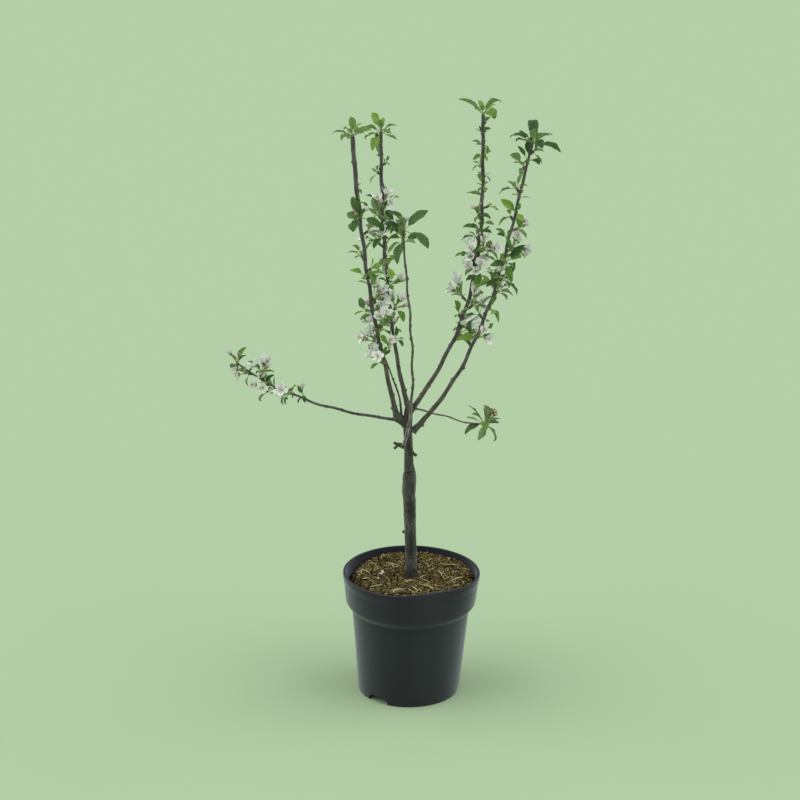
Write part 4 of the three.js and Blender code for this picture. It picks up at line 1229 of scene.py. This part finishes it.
def settled(points):
    """Where the soft pot has settled: it leans to the right, and its rim nods and is dented."""
    x, y, z = points.T
    share = z / POT_HEIGHT
    off = turned_from(np.degrees(np.arctan2(y, x)), DENT_HEADING)
    rise = np.clip((z - STEP[1]) / (POT_HEIGHT - STEP[1]), 0, 1)
    radius = np.maximum(1, np.hypot(x, y))
    dent = DENT_DEPTH * np.exp(-((off / DENT_WIDTH) ** 2)) * rise
    pushed = 1 - dent * np.minimum(1, radius / STEP[0]) / radius
    return np.stack([x * pushed + BASE_OFFSET + LEAN * share, y * pushed,
                     z + (RIM_NOD * y - RIM_FALL * x) * share], axis=1)


def wrinkled(points):
    """The wall's uneven swell, and the line where the band has drawn in."""
    x, y, z = points.T
    heading = np.arctan2(y, x)
    radius = np.maximum(1, np.hypot(x, y))
    level = WRINKLE_HEIGHT + 1.6 * np.sin(2 * heading + 1) + 0.9 * np.sin(5 * heading)
    strength = WRINKLE_DEPTH * np.maximum(0, 0.4 + np.sin(3 * heading + 0.5) * np.sin(7 * heading))
    out = strength * np.exp(-((z - level) / 1.5) ** 2)
    uneven = 0.25 * ripple(points, 60, 21) * np.clip(z / 60, 0, 1)
    grow = 1 + (out + uneven) / radius * (radius > BODY_FOOT[0] - 1)
    return np.stack([x * grow, y * grow, z], axis=1)


def rounded(middle, radius, start, end, steps):
    """Points of a profile round a corner, as pairs of radius and height."""
    angles = np.radians(np.linspace(start, end, steps + 1))
    return [(middle[0] + radius * math.cos(a), middle[1] + radius * math.sin(a)) for a in angles]


def stretch(start, end, steps, eased=False):
    """A profile from one point up to the next, which leaves and arrives upright where it's eased."""
    share = np.linspace(0, 1, steps + 1)[:-1]
    ease = share * share * (3 - 2 * share) if eased else share
    return [(start[0] + (end[0] - start[0]) * e, start[1] + (end[1] - start[1]) * s)
            for e, s in zip(ease, share)]


def pot_outside():
    band_top = (BAND_TOP_RADIUS, POT_HEIGHT - LIP_HEIGHT - LIP_FLARE)
    lip_foot = (LIP_RADIUS, POT_HEIGHT - LIP_HEIGHT)
    edge = rounded((BASE_RADIUS, BASE_ROUNDING), BASE_ROUNDING, -90, -5, 6)
    lip = rounded((LIP_RADIUS - LIP_ROUNDING, POT_HEIGHT - LIP_ROUNDING), LIP_ROUNDING, 0, 90, 5)
    return [(1, 0), (40, 0), (BASE_RADIUS, 0), *edge[1:],
            *stretch(BODY_FOOT, STEP, 14), *stretch(STEP, BAND_FOOT, 12, eased=True),
            *stretch(BAND_FOOT, band_top, 8), *stretch(band_top, lip_foot, 10, eased=True),
            *stretch(lip_foot, lip[0], 5), *lip, (BAND_TOP_RADIUS - POT_WALL - 4, POT_HEIGHT)]


def pot_inside(margin=0):
    inset = POT_WALL + margin
    foot, step, band = ((radius - inset, height + 1) for radius, height in (BODY_FOOT, STEP, BAND_FOOT))
    mouth = (BAND_TOP_RADIUS - inset, POT_HEIGHT + 1)
    return [(1, inset), (BASE_RADIUS - inset - 2, inset), *stretch(foot, step, 6),
            *stretch(step, band, 10, eased=True), *stretch(band, mouth, 10), mouth,
            (1, POT_HEIGHT + 1)]


def lathe(profile):
    """A closed body of revolution from pairs of radius and height, which start and end inside."""
    level = circle(turns(POT_SIDES), RIGHT, BACK)
    return rings_surface([radius * level + UP * height for radius, height in profile])


def drain_surface(heading, margin):
    """One of the raised drains that run in under the pot's floor."""
    half, top = DRAIN_WIDTH / 2 + margin, DRAIN_HEIGHT + margin
    section = [(-half, -1), (half, -1), (half, top - DRAIN_CHAMFER), (half - DRAIN_CHAMFER, top),
               (DRAIN_CHAMFER - half, top), (-half, top - DRAIN_CHAMFER)]
    out, across = direction(0, heading), direction(0, heading + 90)
    return rings_surface([[out * reach + across * x + UP * z for x, z in section]
                          for reach in (DRAIN_START - margin, LIP_RADIUS)])


def solid(surface):
    return placed("solid", new_mesh("solid", *surface))


def cut_out(piece, cutters):
    """The mesh of a piece with others cut out of it. All of them are deleted."""
    for cutter in cutters:
        cut = piece.modifiers.new("cut", "BOOLEAN")
        cut.operation = "DIFFERENCE"
        cut.solver = "MANIFOLD"
        cut.object = cutter
    mesh = applied(piece)
    for cutter in cutters:
        bpy.data.objects.remove(cutter)
    return mesh


def build_pot():
    """The pot's wall, lip and floor, with its three drains."""
    raised, drains = ([solid(drain_surface(heading, margin)) for heading in DRAIN_HEADINGS]
                      for margin in (POT_WALL, 0))
    inside = placed("inside", cut_out(solid(lathe(pot_inside())), raised))
    points, quads, tris = lathe(pot_outside())
    mesh = cut_out(solid((wrinkled(points), quads, tris)), [inside, *drains])
    move_points(mesh, settled(vectors(mesh.vertices, "co") / MM))
    mesh.name = "pot_shell"
    # Paler plastic on faces that look up is a painted highlight. Weaker sheen on faces that look down
    # is a painted shade.
    slope = vectors(mesh.polygons, "normal")[:, 2]
    slots = np.select([slope > FLAT_SLOPE, slope < -FLAT_SLOPE], [1, 2])
    mesh.polygons.foreach_set("material_index", slots.astype(np.int32))
    return finished(mesh, POT_FOLD, ("pot_plastic", "pot_ledge_painted_highlight", "pot_step_painted_shade"))


# --- Potting mix

SOIL_PROFILE = [(0, 190), (15, 190), (44, 191.1), (72, 192.2), (97, 191.1), (103, 186)]
SOIL_REACH = 102          # loose bits lie within this of the axis
SOIL_RADII = [*np.linspace(1, 97, 90), 99, 101, 103]
BED_SIDE = (30, 180)      # the bed lies at the pot's wall between these heights
BED_INSET = 0.4
SOIL_SIDES = 240
SOIL_GRAIN = 1.5
SWELLS = 0.9              # how far the mix heaves in wide swells
CLODS = 1.1               # and in clods
# Where the mix has come away from the wall: heading, width and depth.
GAPS = [(184, 36, 22), (352, 17, 12)]
GAP_START = 82
GAP_REACH = 16

SOIL_SHADES = {
    "soil_black": ((50, 45, 26), (26, 23, 12)),
    "soil_brown": ((108, 94, 54), (72, 61, 32)),
    "soil_olive": ((144, 136, 80), (106, 99, 54)),
    "soil_ochre": ((170, 152, 92), (130, 114, 64)),
    "soil_straw": ((222, 212, 170), (182, 170, 122)),
}
# Loose bits: how many, the shares of the mix's shades, their sizes and how high they lie.
CRUMBS = (5200, (0.4, 0.3, 0.16, 0.12, 0.02), (0.9, 2.7), (-0.6, 1.1))
CHIPS = (2300, (0.26, 0.32, 0.18, 0.18, 0.06), (1.8, 5.2), (0.2, 1.6))
FIBRES = (4200, (0.18, 0.26, 0.24, 0.22, 0.1), (2.5, 8.5), (0.4, 2.0))
FIBRE_SPANS = ((0.25, 0.6), (-14, 20), (-1.2, 1.2))  # radius, tilt and curve
FIBRE_TAPER = np.array([0.5, 1, 0.9, 0.4])
CRUMB_PROFILE = [(0.1, 0.35), (0.45, 0.5), (0.85, 0.3)]
CHIP_WIDTH = (0.35, 0.8)  # of the length
CHIP_THICKNESS = (0.12, 0.3)
CHIP_BREAK = (0.6, 1.1)   # how unevenly its corners have broken
CHIP_CORNERS = [(-1, -1), (1, -1), (1, 1), (-1, 1)]
CHIP_TILT = (-25, 25)
CHIP_ROLL = (-35, 35)
STRAWS = 22
STRAW_SPANS = ((0.5, 0.85), (-4, 8), (-0.5, 0.5))
STRAW_LENGTH = (12, 24)
STRAW_RISE = 2.4
STRAW_REACH = 90
TRUNK_CLEAR = 9.6         # loose bits lie further than this from the trunk's middle
BITS_SEED = 40
BIT_FOLD = 30

# Long straws: the places of both ends.
LONG_STRAWS = [((43, 22), (52, -9)), ((0, -54), (11, -77)), ((-35, -69), (-14, -59)),
               ((-11, -28), (5, -21)), ((-79, -24), (-66, -20)), ((-80, 16), (-66, 2)),
               ((20, -50), (38, -58)), ((60, -22), (84, -10))]
LONG_STRAW_RISE = 2.6
LONG_STRAW_RADII = [0.4, 0.85, 0.95, 0.8, 0.35]
# Bits that catch the eye: sideways and fore-and-aft place, length and colour.
BRIGHT_BITS = [(41, -23, 12, "soil_red"), (-46, 8, 13, "soil_white"), (-49, 2, 8, "soil_white"),
               (-53, -19, 5, "soil_white"), (-31, 37, 5, "soil_white"), (-62, 15, 6, "soil_red"),
               (79, 41, 6, "soil_red"), (66, 52, 5, "soil_red")]
BRIGHT_RISE = 2.2


def soil_height(at):
    """The height of the potting mix over level places, before its crumbs."""
    x, y = at[..., 0], at[..., 1]
    radius = np.hypot(x, y)
    radii, heights = np.array(SOIL_PROFILE, float).T
    edge = np.clip((radius - GAP_START) / GAP_REACH, 0, 1) ** 1.2
    heading = np.degrees(np.arctan2(y, x))
    gap = sum(depth * np.exp(-((turned_from(heading, middle) / width) ** 2)) * edge
              for middle, width, depth in GAPS)
    return (np.interp(radius, radii, heights) - gap + SWELLS * ripple(at, 22, 31)
            + CLODS * ripple(at, 8, 33) * np.clip(radius / 30, 0, 1))


def build_soil_bed():
    """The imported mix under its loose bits."""
    level = circle(turns(SOIL_SIDES), RIGHT, BACK)
    rings = []
    for radius in SOIL_RADII:
        at = radius * level
        rough = SOIL_GRAIN * ripple(at, 3.4, 32) * min(1, radius / 15)
        rings.append(at + UP * (soil_height(at) + rough)[:, None])
    lower = [(radius - BED_INSET) * level + UP * height for radius, height in pot_inside(CLEARANCE)
             if BED_SIDE[0] < height < BED_SIDE[1]]
    points, quads, tris = rings_surface([*lower, *reversed(rings)])
    heap = Heap("potting_mix_bed", "soil_bed")
    heap.add((settled(points), quads, tris), "soil_bed")
    return heap.build()


def on_mix(x, y, rise=0):
    """Points that lie on the mix, or a little above it."""
    at = np.stack([x, y, np.zeros(len(x))], axis=1)
    return settled(at + UP * (soil_height(at) + rise)[:, None])


def scattered(source, count, reach=SOIL_REACH):
    """Even places over the mix, clear of the trunk and the wall."""
    radius = np.sqrt(source.uniform(TRUNK_CLEAR**2, reach**2, count))
    heading = source.uniform(0, 2 * math.pi, count)
    return on_mix(radius * np.cos(heading), radius * np.sin(heading))


def strewn(source, count, shares, sizes, rises):
    """The place, size and shade of each of many loose bits."""
    names = list(SOIL_SHADES)
    places = scattered(source, count)
    for place, shade in zip(places, source.choice(len(names), count, p=shares)):
        size = source.uniform(*sizes)
        yield place + UP * source.uniform(*rises), size, names[shade]


def fibre(place, heading, length, spans, source, sides=3):
    """A bent strand of coir or bark."""
    radius, tilt, curve = (source.uniform(*span) for span in spans)
    out = direction(tilt, heading)
    across = direction(0, heading + 90)
    share = np.linspace(-0.5, 0.5, 4)[:, None]
    line = place + out * length * share + across * curve * length * (share**2 - 0.1)
    return tube(line, radius * FIBRE_TAPER, sides)


def chip(place, length, source):
    """A flat broken flake of bark."""
    sizes = length * np.array([1, source.uniform(*CHIP_WIDTH), source.uniform(*CHIP_THICKNESS)]) / 2
    forward = direction(source.uniform(*CHIP_TILT), source.uniform(0, 360))
    side = turned_about(square_to(forward), forward, source.uniform(*CHIP_ROLL))
    up = np.cross(forward, side)
    return rings_surface([[place + forward * sizes[0] * end * source.uniform(*CHIP_BREAK)
                           + side * sizes[1] * a * source.uniform(*CHIP_BREAK)
                           + up * sizes[2] * b for a, b in CHIP_CORNERS] for end in (-1, 1)])


def crumb(place, size, source):
    """A rounded lump of peat."""
    axis = direction(source.uniform(-90, 90), source.uniform(0, 360))
    profile = [(height * size, radius * size) for height, radius in CRUMB_PROFILE]
    return round_body(place - axis * size / 2, axis, profile, 5)


def build_soil_bits():
    """The crumbs on top of the mix, and apart from them its coir strands, bark flakes and straws."""
    source = np.random.default_rng(BITS_SEED)
    crumbs = Heap("potting_mix_crumbs", *SOIL_SHADES)
    heap = Heap("potting_mix_bits", *SOIL_SHADES, "soil_red", "soil_white")
    for place, size, shade in strewn(source, *CRUMBS):
        crumbs.add(crumb(place, size, source), shade)
    for place, size, shade in strewn(source, *CHIPS):
        heap.add(chip(place, size, source), shade)
    for place, size, shade in strewn(source, *FIBRES):
        heap.add(fibre(place, source.uniform(0, 360), size, FIBRE_SPANS, source), shade)
    for place in scattered(source, STRAWS, STRAW_REACH):
        heading, length = source.uniform(0, 360), source.uniform(*STRAW_LENGTH)
        straw = fibre(place + UP * STRAW_RISE, heading, length, STRAW_SPANS, source, 4)
        heap.add(straw, "soil_straw")
    for ends in LONG_STRAWS:
        first, last = on_mix(*np.array(ends, float).T, LONG_STRAW_RISE)
        share = np.linspace(0, 1, len(LONG_STRAW_RADII))[:, None]
        line = first * (1 - share) + last * share + UP * np.sin(math.pi * share)
        heap.add(tube(line, LONG_STRAW_RADII, 5), "soil_straw")
    for x, y, length, shade in BRIGHT_BITS:
        heap.add(chip(on_mix([x], [y], BRIGHT_RISE)[0], length, source), shade)
    return crumbs.build(BIT_FOLD), heap.build(BIT_FOLD)


# --- Materials

# Where a pattern turns from one shade to the next.
DRIFT_STOPS = (0.35, 0.65)
DUST_STOPS = (0.4, 0.72)
STREAK_STOPS = (0.3, 0.52, 0.72)
PATCH_STOPS = (0.38, 0.5, 0.66)


def colour(red, green, blue):
    """A colour given as 0 to 255, as the linear values that a shader takes."""
    def linear(value):
        value /= 255
        return value / 12.92 if value <= 0.04045 else ((value + 0.055) / 1.055) ** 2.4
    return (linear(red), linear(green), linear(blue), 1.0)


class Finish:
    """Builds one material from a few patterns in the object's own space."""

    def __init__(self, name, **sockets):
        self.material = bpy.data.materials.new(name)
        self.material.use_nodes = True
        self.tree = self.material.node_tree
        self.shader = self.tree.nodes["Principled BSDF"]
        self.space = self.node("TexCoord").outputs["Object"]
        self.fill(self.shader, **sockets)

    def node(self, kind, **sockets):
        node = self.tree.nodes.new(f"ShaderNode{kind}")
        self.fill(node, **sockets)
        return node

    def fill(self, node, **sockets):
        """Sets a node's sockets, each to a value or from another node's socket."""
        for name, value in sockets.items():
            socket = node.inputs[name.replace("_", " ")]
            if isinstance(value, bpy.types.NodeSocket):
                self.tree.links.new(value, socket)
            else:
                socket.default_value = value

    def noise(self, scale, detail, upwards=1):
        """Even noise with swells of 1/scale metres, and longer ones upwards where that is below 1."""
        space = self.node("Mapping", Vector=self.space, Scale=(1, 1, upwards)).outputs["Vector"]
        return self.node("TexNoise", Vector=space, Scale=scale, Detail=detail).outputs["Fac"]

    def ramp(self, pattern, places, shades):
        """Colours at places from 0 to 1 of a pattern."""
        ramp = self.node("ValToRGB", Fac=pattern)
        marks = ramp.color_ramp.elements
        while len(marks) < len(shades):
            marks.new(0.5)
        for mark, place, shade in zip(marks, places, shades):
            mark.position = place
            mark.color = colour(*shade)
        return ramp.outputs["Color"]

    def mix(self, under, over, pattern):
        """Lays one ramp's colours over another's by a pattern."""
        mix = self.node("Mix")
        mix.data_type = "RGBA"
        self.fill(mix, Factor=pattern, A=under, B=over)
        return mix.outputs["Result"]

    def paint(self, shade):
        self.fill(self.shader, Base_Color=shade)

    def gloss(self, pattern, low, high):
        """Roughness from low to high by a pattern."""
        spread = self.node("MapRange", Value=pattern, To_Min=low, To_Max=high)
        self.fill(self.shader, Roughness=spread.outputs["Result"])

    def emboss(self, pattern, strength, depth):
        """Fine relief of a depth in millimetres."""
        bump = self.node("Bump", Height=pattern, Strength=strength, Distance=depth * MM)
        self.fill(self.shader, Normal=bump.outputs["Normal"])


def mottled(name, pale, dark, pattern, relief, strength, depth, **sockets):
    """Two near shades in a drift, with a fine relief. Each pattern is a scale and a detail."""
    finish = Finish(name, **sockets)
    finish.paint(finish.ramp(finish.noise(*pattern), DRIFT_STOPS, (dark, pale)))
    finish.emboss(finish.noise(*relief), strength, depth)
    return finish.material


def bark(name, shades, upwards, roughness=0.8, depth=0.35, sheen=0, sheen_roughness=0.4):
    """Bark streaked along the wood, with darker and paler patches. Its shades go from dark to pale."""
    finish = Finish(name, Sheen_Weight=sheen, Sheen_Roughness=sheen_roughness,
                    Sheen_Tint=(0.86, 0.94, 1, 1))
    streaks = finish.ramp(finish.noise(420, 5, upwards), STREAK_STOPS, shades)
    patches = finish.ramp(finish.noise(55, 3), PATCH_STOPS, shades)
    finish.paint(finish.mix(streaks, patches, finish.noise(130, 4)))
    finish.gloss(finish.noise(300, 3), roughness - 0.12, roughness + 0.1)
    finish.emboss(finish.noise(700, 6, upwards), 0.6, depth)
    return finish.material


def plastic(name, clean, dusty, sheen):
    """Dull slate-grey plastic with a faint grain, dusty in places, that pales at a grazing view."""
    finish = Finish(name, Specular_IOR_Level=0.2, Sheen_Weight=sheen, Sheen_Roughness=0.4,
                    Sheen_Tint=(0.8, 0.87, 1.0, 1.0))
    finish.paint(finish.ramp(finish.noise(14, 5, 0.4), DUST_STOPS, (clean, dusty)))
    finish.gloss(finish.noise(60, 4), 0.42, 0.6)
    finish.emboss(finish.noise(1500, 3), 0.12, 0.1)
    return finish.material


# What the mottled finishes of each kind share, and the pale and dark shade of each.
LEAF = {"pattern": (260, 2), "relief": (900, 2), "strength": 0.25, "depth": 0.15,
        "Specular_IOR_Level": 0.3}
SOFT = {"pattern": (300, 2), "relief": (1400, 2), "strength": 0.15, "depth": 0.1}
CRUMBLY = {"pattern": (450, 4), "relief": (1800, 4), "strength": 0.7, "depth": 0.3,
           "Specular_IOR_Level": 0.2, "Roughness": 0.95}
LEAF_SHADES = {
    "leaf_bright": ((132, 168, 66), (112, 149, 54)),
    "leaf_fresh": ((106, 146, 58), (87, 126, 48)),
    "leaf_mid": ((80, 117, 52), (62, 97, 43)),
    "leaf_deep": ((54, 91, 32), (40, 73, 24)),
}
UNDERSIDE_SHADES = {"leaf_under": ((150, 172, 124), (128, 152, 104))}
PETAL_SHADES = {
    "petal": ((250, 252, 248), (238, 242, 240)),
    "petal_back": ((244, 247, 246), (228, 233, 234)),
    "petal_blush": ((236, 232, 236), (220, 214, 220)),
}
STALK_SHADES = {
    "petiole": ((150, 164, 104), (112, 126, 74)),
    "pedicel": ((178, 186, 142), (140, 144, 100)),
}
FLOWER_SHADES = {
    "heart": ((176, 186, 92), (150, 160, 72)),
    "filament": ((208, 214, 184), (186, 194, 156)),
    "anther": ((198, 186, 128), (172, 154, 100)),
    "faded_filament": ((214, 200, 170), (186, 160, 124)),
    "faded_anther": ((196, 142, 84), (150, 96, 60)),
    "calyx": ((92, 112, 62), (84, 82, 56)),
    "bud_pink": ((176, 152, 144), (146, 118, 108)),
    "bud_rose": ((140, 110, 98), (108, 84, 72)),
    "bud_pale": ((216, 208, 208), (198, 182, 184)),
}
OTHER_SOIL_SHADES = {
    "soil_bed": ((78, 62, 36), (38, 30, 18)),
    "soil_red": ((152, 98, 58), (122, 74, 44)),
    "soil_white": ((222, 216, 200), (196, 186, 164)),
}
MATERIALS = {name: mottled(name, *shades, **kind)
             for table, kind in ((LEAF_SHADES, LEAF | {"Roughness": 0.55}),
                                 (UNDERSIDE_SHADES, LEAF | {"Roughness": 0.7}),
                                 (PETAL_SHADES, SOFT | {"Roughness": 0.8}),
                                 (STALK_SHADES | FLOWER_SHADES, SOFT | {"Roughness": 0.6}),
                                 (SOIL_SHADES | OTHER_SOIL_SHADES, CRUMBLY))
             for name, shades in table.items()}

# The dark, middle and pale shade of each bark, its streaks' scale upwards, and where they aren't
# the usual ones its roughness, the depth of its relief, and its sheen with the sheen's roughness.
BARKS = {
    "bark_old": (((38, 37, 30), (58, 58, 49), (88, 90, 82)), 0.3, 0.7, 0.3, 0.45, 0.45),
    # Darker bark for dark patches, and for painted shade in a crease and a pit.
    "bark_dark_and_shade": (((30, 28, 21), (46, 44, 35), (62, 60, 49)), 0.4),
    "bark_moss": (((26, 28, 16), (44, 46, 28), (70, 72, 44)), 1),
    "bark_olive": (((58, 56, 46), (84, 82, 71), (112, 110, 98)), 0.2),
    "bark_grey": (((50, 46, 47), (80, 74, 75), (112, 107, 106)), 0.2, 0.7, 0.3, 0.3, 0.4),
    "bark_young": (((60, 55, 52), (90, 85, 80), (122, 117, 111)), 0.2, 0.65, 0.15),
    "bark_pale": (((88, 80, 78), (136, 129, 127), (176, 170, 168)), 0.2, 0.65, 0.15),
    "spur_bark": (((62, 60, 40), (92, 94, 62), (124, 122, 88)), 1, 0.75),
}
MATERIALS |= {name: bark(name, *look) for name, look in BARKS.items()}

# The clean and dusty shade of the pot's finishes, and their sheen.
PLASTICS = {
    "pot_plastic": ((33, 35, 40), (42, 44, 50), 0.74),
    # Paler, for faces that look up: a painted highlight, over the same dust.
    "pot_ledge_painted_highlight": ((42, 44, 50), (56, 59, 66), 0.04),
    # Less sheen, for faces that look down: a painted shade.
    "pot_step_painted_shade": ((33, 35, 40), (42, 44, 50), 0.32),
}
MATERIALS |= {name: plastic(name, *look) for name, look in PLASTICS.items()}


# --- Foliage

# How a limb's sprays share out the four greens, from the palest to the darkest, and how its
# crown does.
GREENS = {
    "left_front": ((2, 5, 4, 1), (1, 5, 3, 0)),
    "left_back": ((2, 4, 4, 1), (4, 3, 0, 0)),
    "right_back": ((1, 4, 4, 1), (7, 1, 0, 0)),
    "right_front": ((0, 3, 4, 3), (0, 0, 0, 1)),
    "middle": ((0, 0, 2, 5), (0, 0, 1, 5)),
    "far_left": ((0, 3, 4, 2), (0, 2, 4, 0)),
    "far_right": ((0, 2, 4, 2), (0, 0, 1, 3)),
    "inner_left": ((2, 4, 2, 0), (0, 4, 2, 0)),
}
OTHER_GREEN = 0.3         # the share of the leaves in a neighbouring green
PALER_YOUNG = 0.6         # and of the young leaves that are a shade paler
CRINKLED_CROWNS = ("left_back",)
FADED_LIMBS = ("far_right",)
HALVES = {
    "left": ("left_front", "left_back", "middle", "inner_left", "far_left"),
    "right": ("right_back", "right_front", "far_right"),
}
# The meshes of each half of the crown: the slot named for each, and its materials.
HEAPS = {
    "leaves": ("foliage", (*LEAF_SHADES, *UNDERSIDE_SHADES)),
    "stalks": ("foliage", STALK_SHADES),
    "blossom": ("blossom", (*PETAL_SHADES, *FLOWER_SHADES)),
    "spurs": ("young_bark", ["spur_bark"]),
}
LIMB_SEED = 700           # plus the limb's number
DRESS_SEED = 800          # plus the number of letters in the limb's name
FINER_SEED = 900          # and likewise


def dress_spray(heaps, spray, draw):
    """One spray: its spur, and its leaves in one green with now and then a neighbouring one."""
    greens = list(LEAF_SHADES)
    green = draw.pick(GREENS[spray.limb][spray.crowns])
    crinkled = spray.crowns and spray.limb in CRINKLED_CROWNS
    add_spur(heaps["spurs"], spray)
    for leaf in spray.leaves:
        shade = green
        if draw() < OTHER_GREEN:
            shade = min(3, max(0, green + (1 if draw() < 0.5 else -1)))
        add_leaf(heaps, leaf, leaf_look(draw, crinkled), greens[shade], LEAF_CELLS)
    for leaf in spray.young:
        shade = max(0, green - (draw() < PALER_YOUNG))
        add_leaf(heaps, leaf, leaf_look(draw, False), greens[shade], YOUNG_LEAF_CELLS)
    for blossom in spray.blossoms:
        add_blossom(heaps, blossom, draw)
    dress_bud = add_faded_blossom if spray.limb in FADED_LIMBS else add_bud
    for bud in spray.buds:
        dress_bud(heaps, bud, draw)


def dress_limb(heaps, name):
    growth = Growth(name)
    growth.add_finer_growth(FINER_SEED + len(name))
    draw = Draw(DRESS_SEED + len(name))
    for spray in growth.sprays:
        dress_spray(heaps, spray, draw)


# --- Stage and camera

# The camera stands in front of the tree and looks a little down.
CAMERA_PLACE = (-16.7, -2600, 1247)
CAMERA_PITCH = 16.33
CAMERA_LENS = 78.37
CAMERA_SENSOR = 36
FLOOR_REACH = 60000
FLOOR_COLOUR = (178, 204, 165)
SKY_COLOUR = (1.0, 1.0, 1.0)
SKY_STRENGTH = 0.58
# Name, strength, width, lift and heading of each soft light.
SUNS = [("light_left", 1.12, 70, 40, 184), ("light_right", 1.06, 70, 40, -4)]


def add_camera():
    camera = bpy.data.cameras.new("camera")
    camera.lens = CAMERA_LENS
    camera.sensor_width = CAMERA_SENSOR
    camera.clip_end = FLOOR_REACH * MM
    holder = placed("camera", camera)
    holder.location = [value * MM for value in CAMERA_PLACE]
    holder.rotation_euler = (math.radians(90 - CAMERA_PITCH), 0, 0)
    bpy.context.scene.camera = holder


def build_stage():
    """A plain pale floor that fills the view, under soft even light."""
    bpy.ops.mesh.primitive_plane_add(size=FLOOR_REACH * MM)
    floor = bpy.context.object
    floor.name = "floor"
    paint = Finish("floor_paint", Base_Color=colour(*FLOOR_COLOUR), Roughness=0.9,
                   Specular_IOR_Level=0)
    floor.data.materials.append(paint.material)
    world = bpy.data.worlds.new("studio")
    world.use_nodes = True
    background = world.node_tree.nodes["Background"]
    background.inputs["Color"].default_value = (*SKY_COLOUR, 1)
    background.inputs["Strength"].default_value = SKY_STRENGTH
    bpy.context.scene.world = world
    for name, strength, angle, lift, heading in SUNS:
        sun = bpy.data.lights.new(name, "SUN")
        sun.energy = strength
        sun.angle = math.radians(angle)
        lamp = placed(name, sun)
        lamp.rotation_euler = (math.radians(90 - lift), 0, math.radians(heading + 90))
    bpy.context.scene.view_settings.view_transform = "Standard"


# --- Assembly

def stand_for(piece, slot, *nodes):
    """The piece rides with the plant and stands for its CAD nodes, which are hidden. Its slot is not
    used.
    """
    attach(piece, "root")
    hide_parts(*nodes)


add_camera()
build_stage()
stand_for(build_pot(), "pot", "pot")
stand_for(build_soil_bed(), "potting_mix", "potting_mix")
for piece in build_soil_bits():
    stand_for(piece, "potting_mix", "potting_mix")
stand_for(build_trunk(), "bark", "trunk")

for number, name in enumerate(PATHS):
    slot = "young_bark" if name in YOUNG_WOOD else "bark"
    stand_for(build_limb(name, Draw(LIMB_SEED + number)), slot, f"bough_{name}", f"foliage_{name}")

for half, names in HALVES.items():
    heaps = {kind: Heap(f"{kind}_{half}", *materials) for kind, (_, materials) in HEAPS.items()}
    for name in names:
        dress_limb(heaps, name)
    masses = [f"foliage_{name}" for name in names]
    for kind, (slot, _) in HEAPS.items():
        stand_for(heaps[kind].build(), slot, *masses)
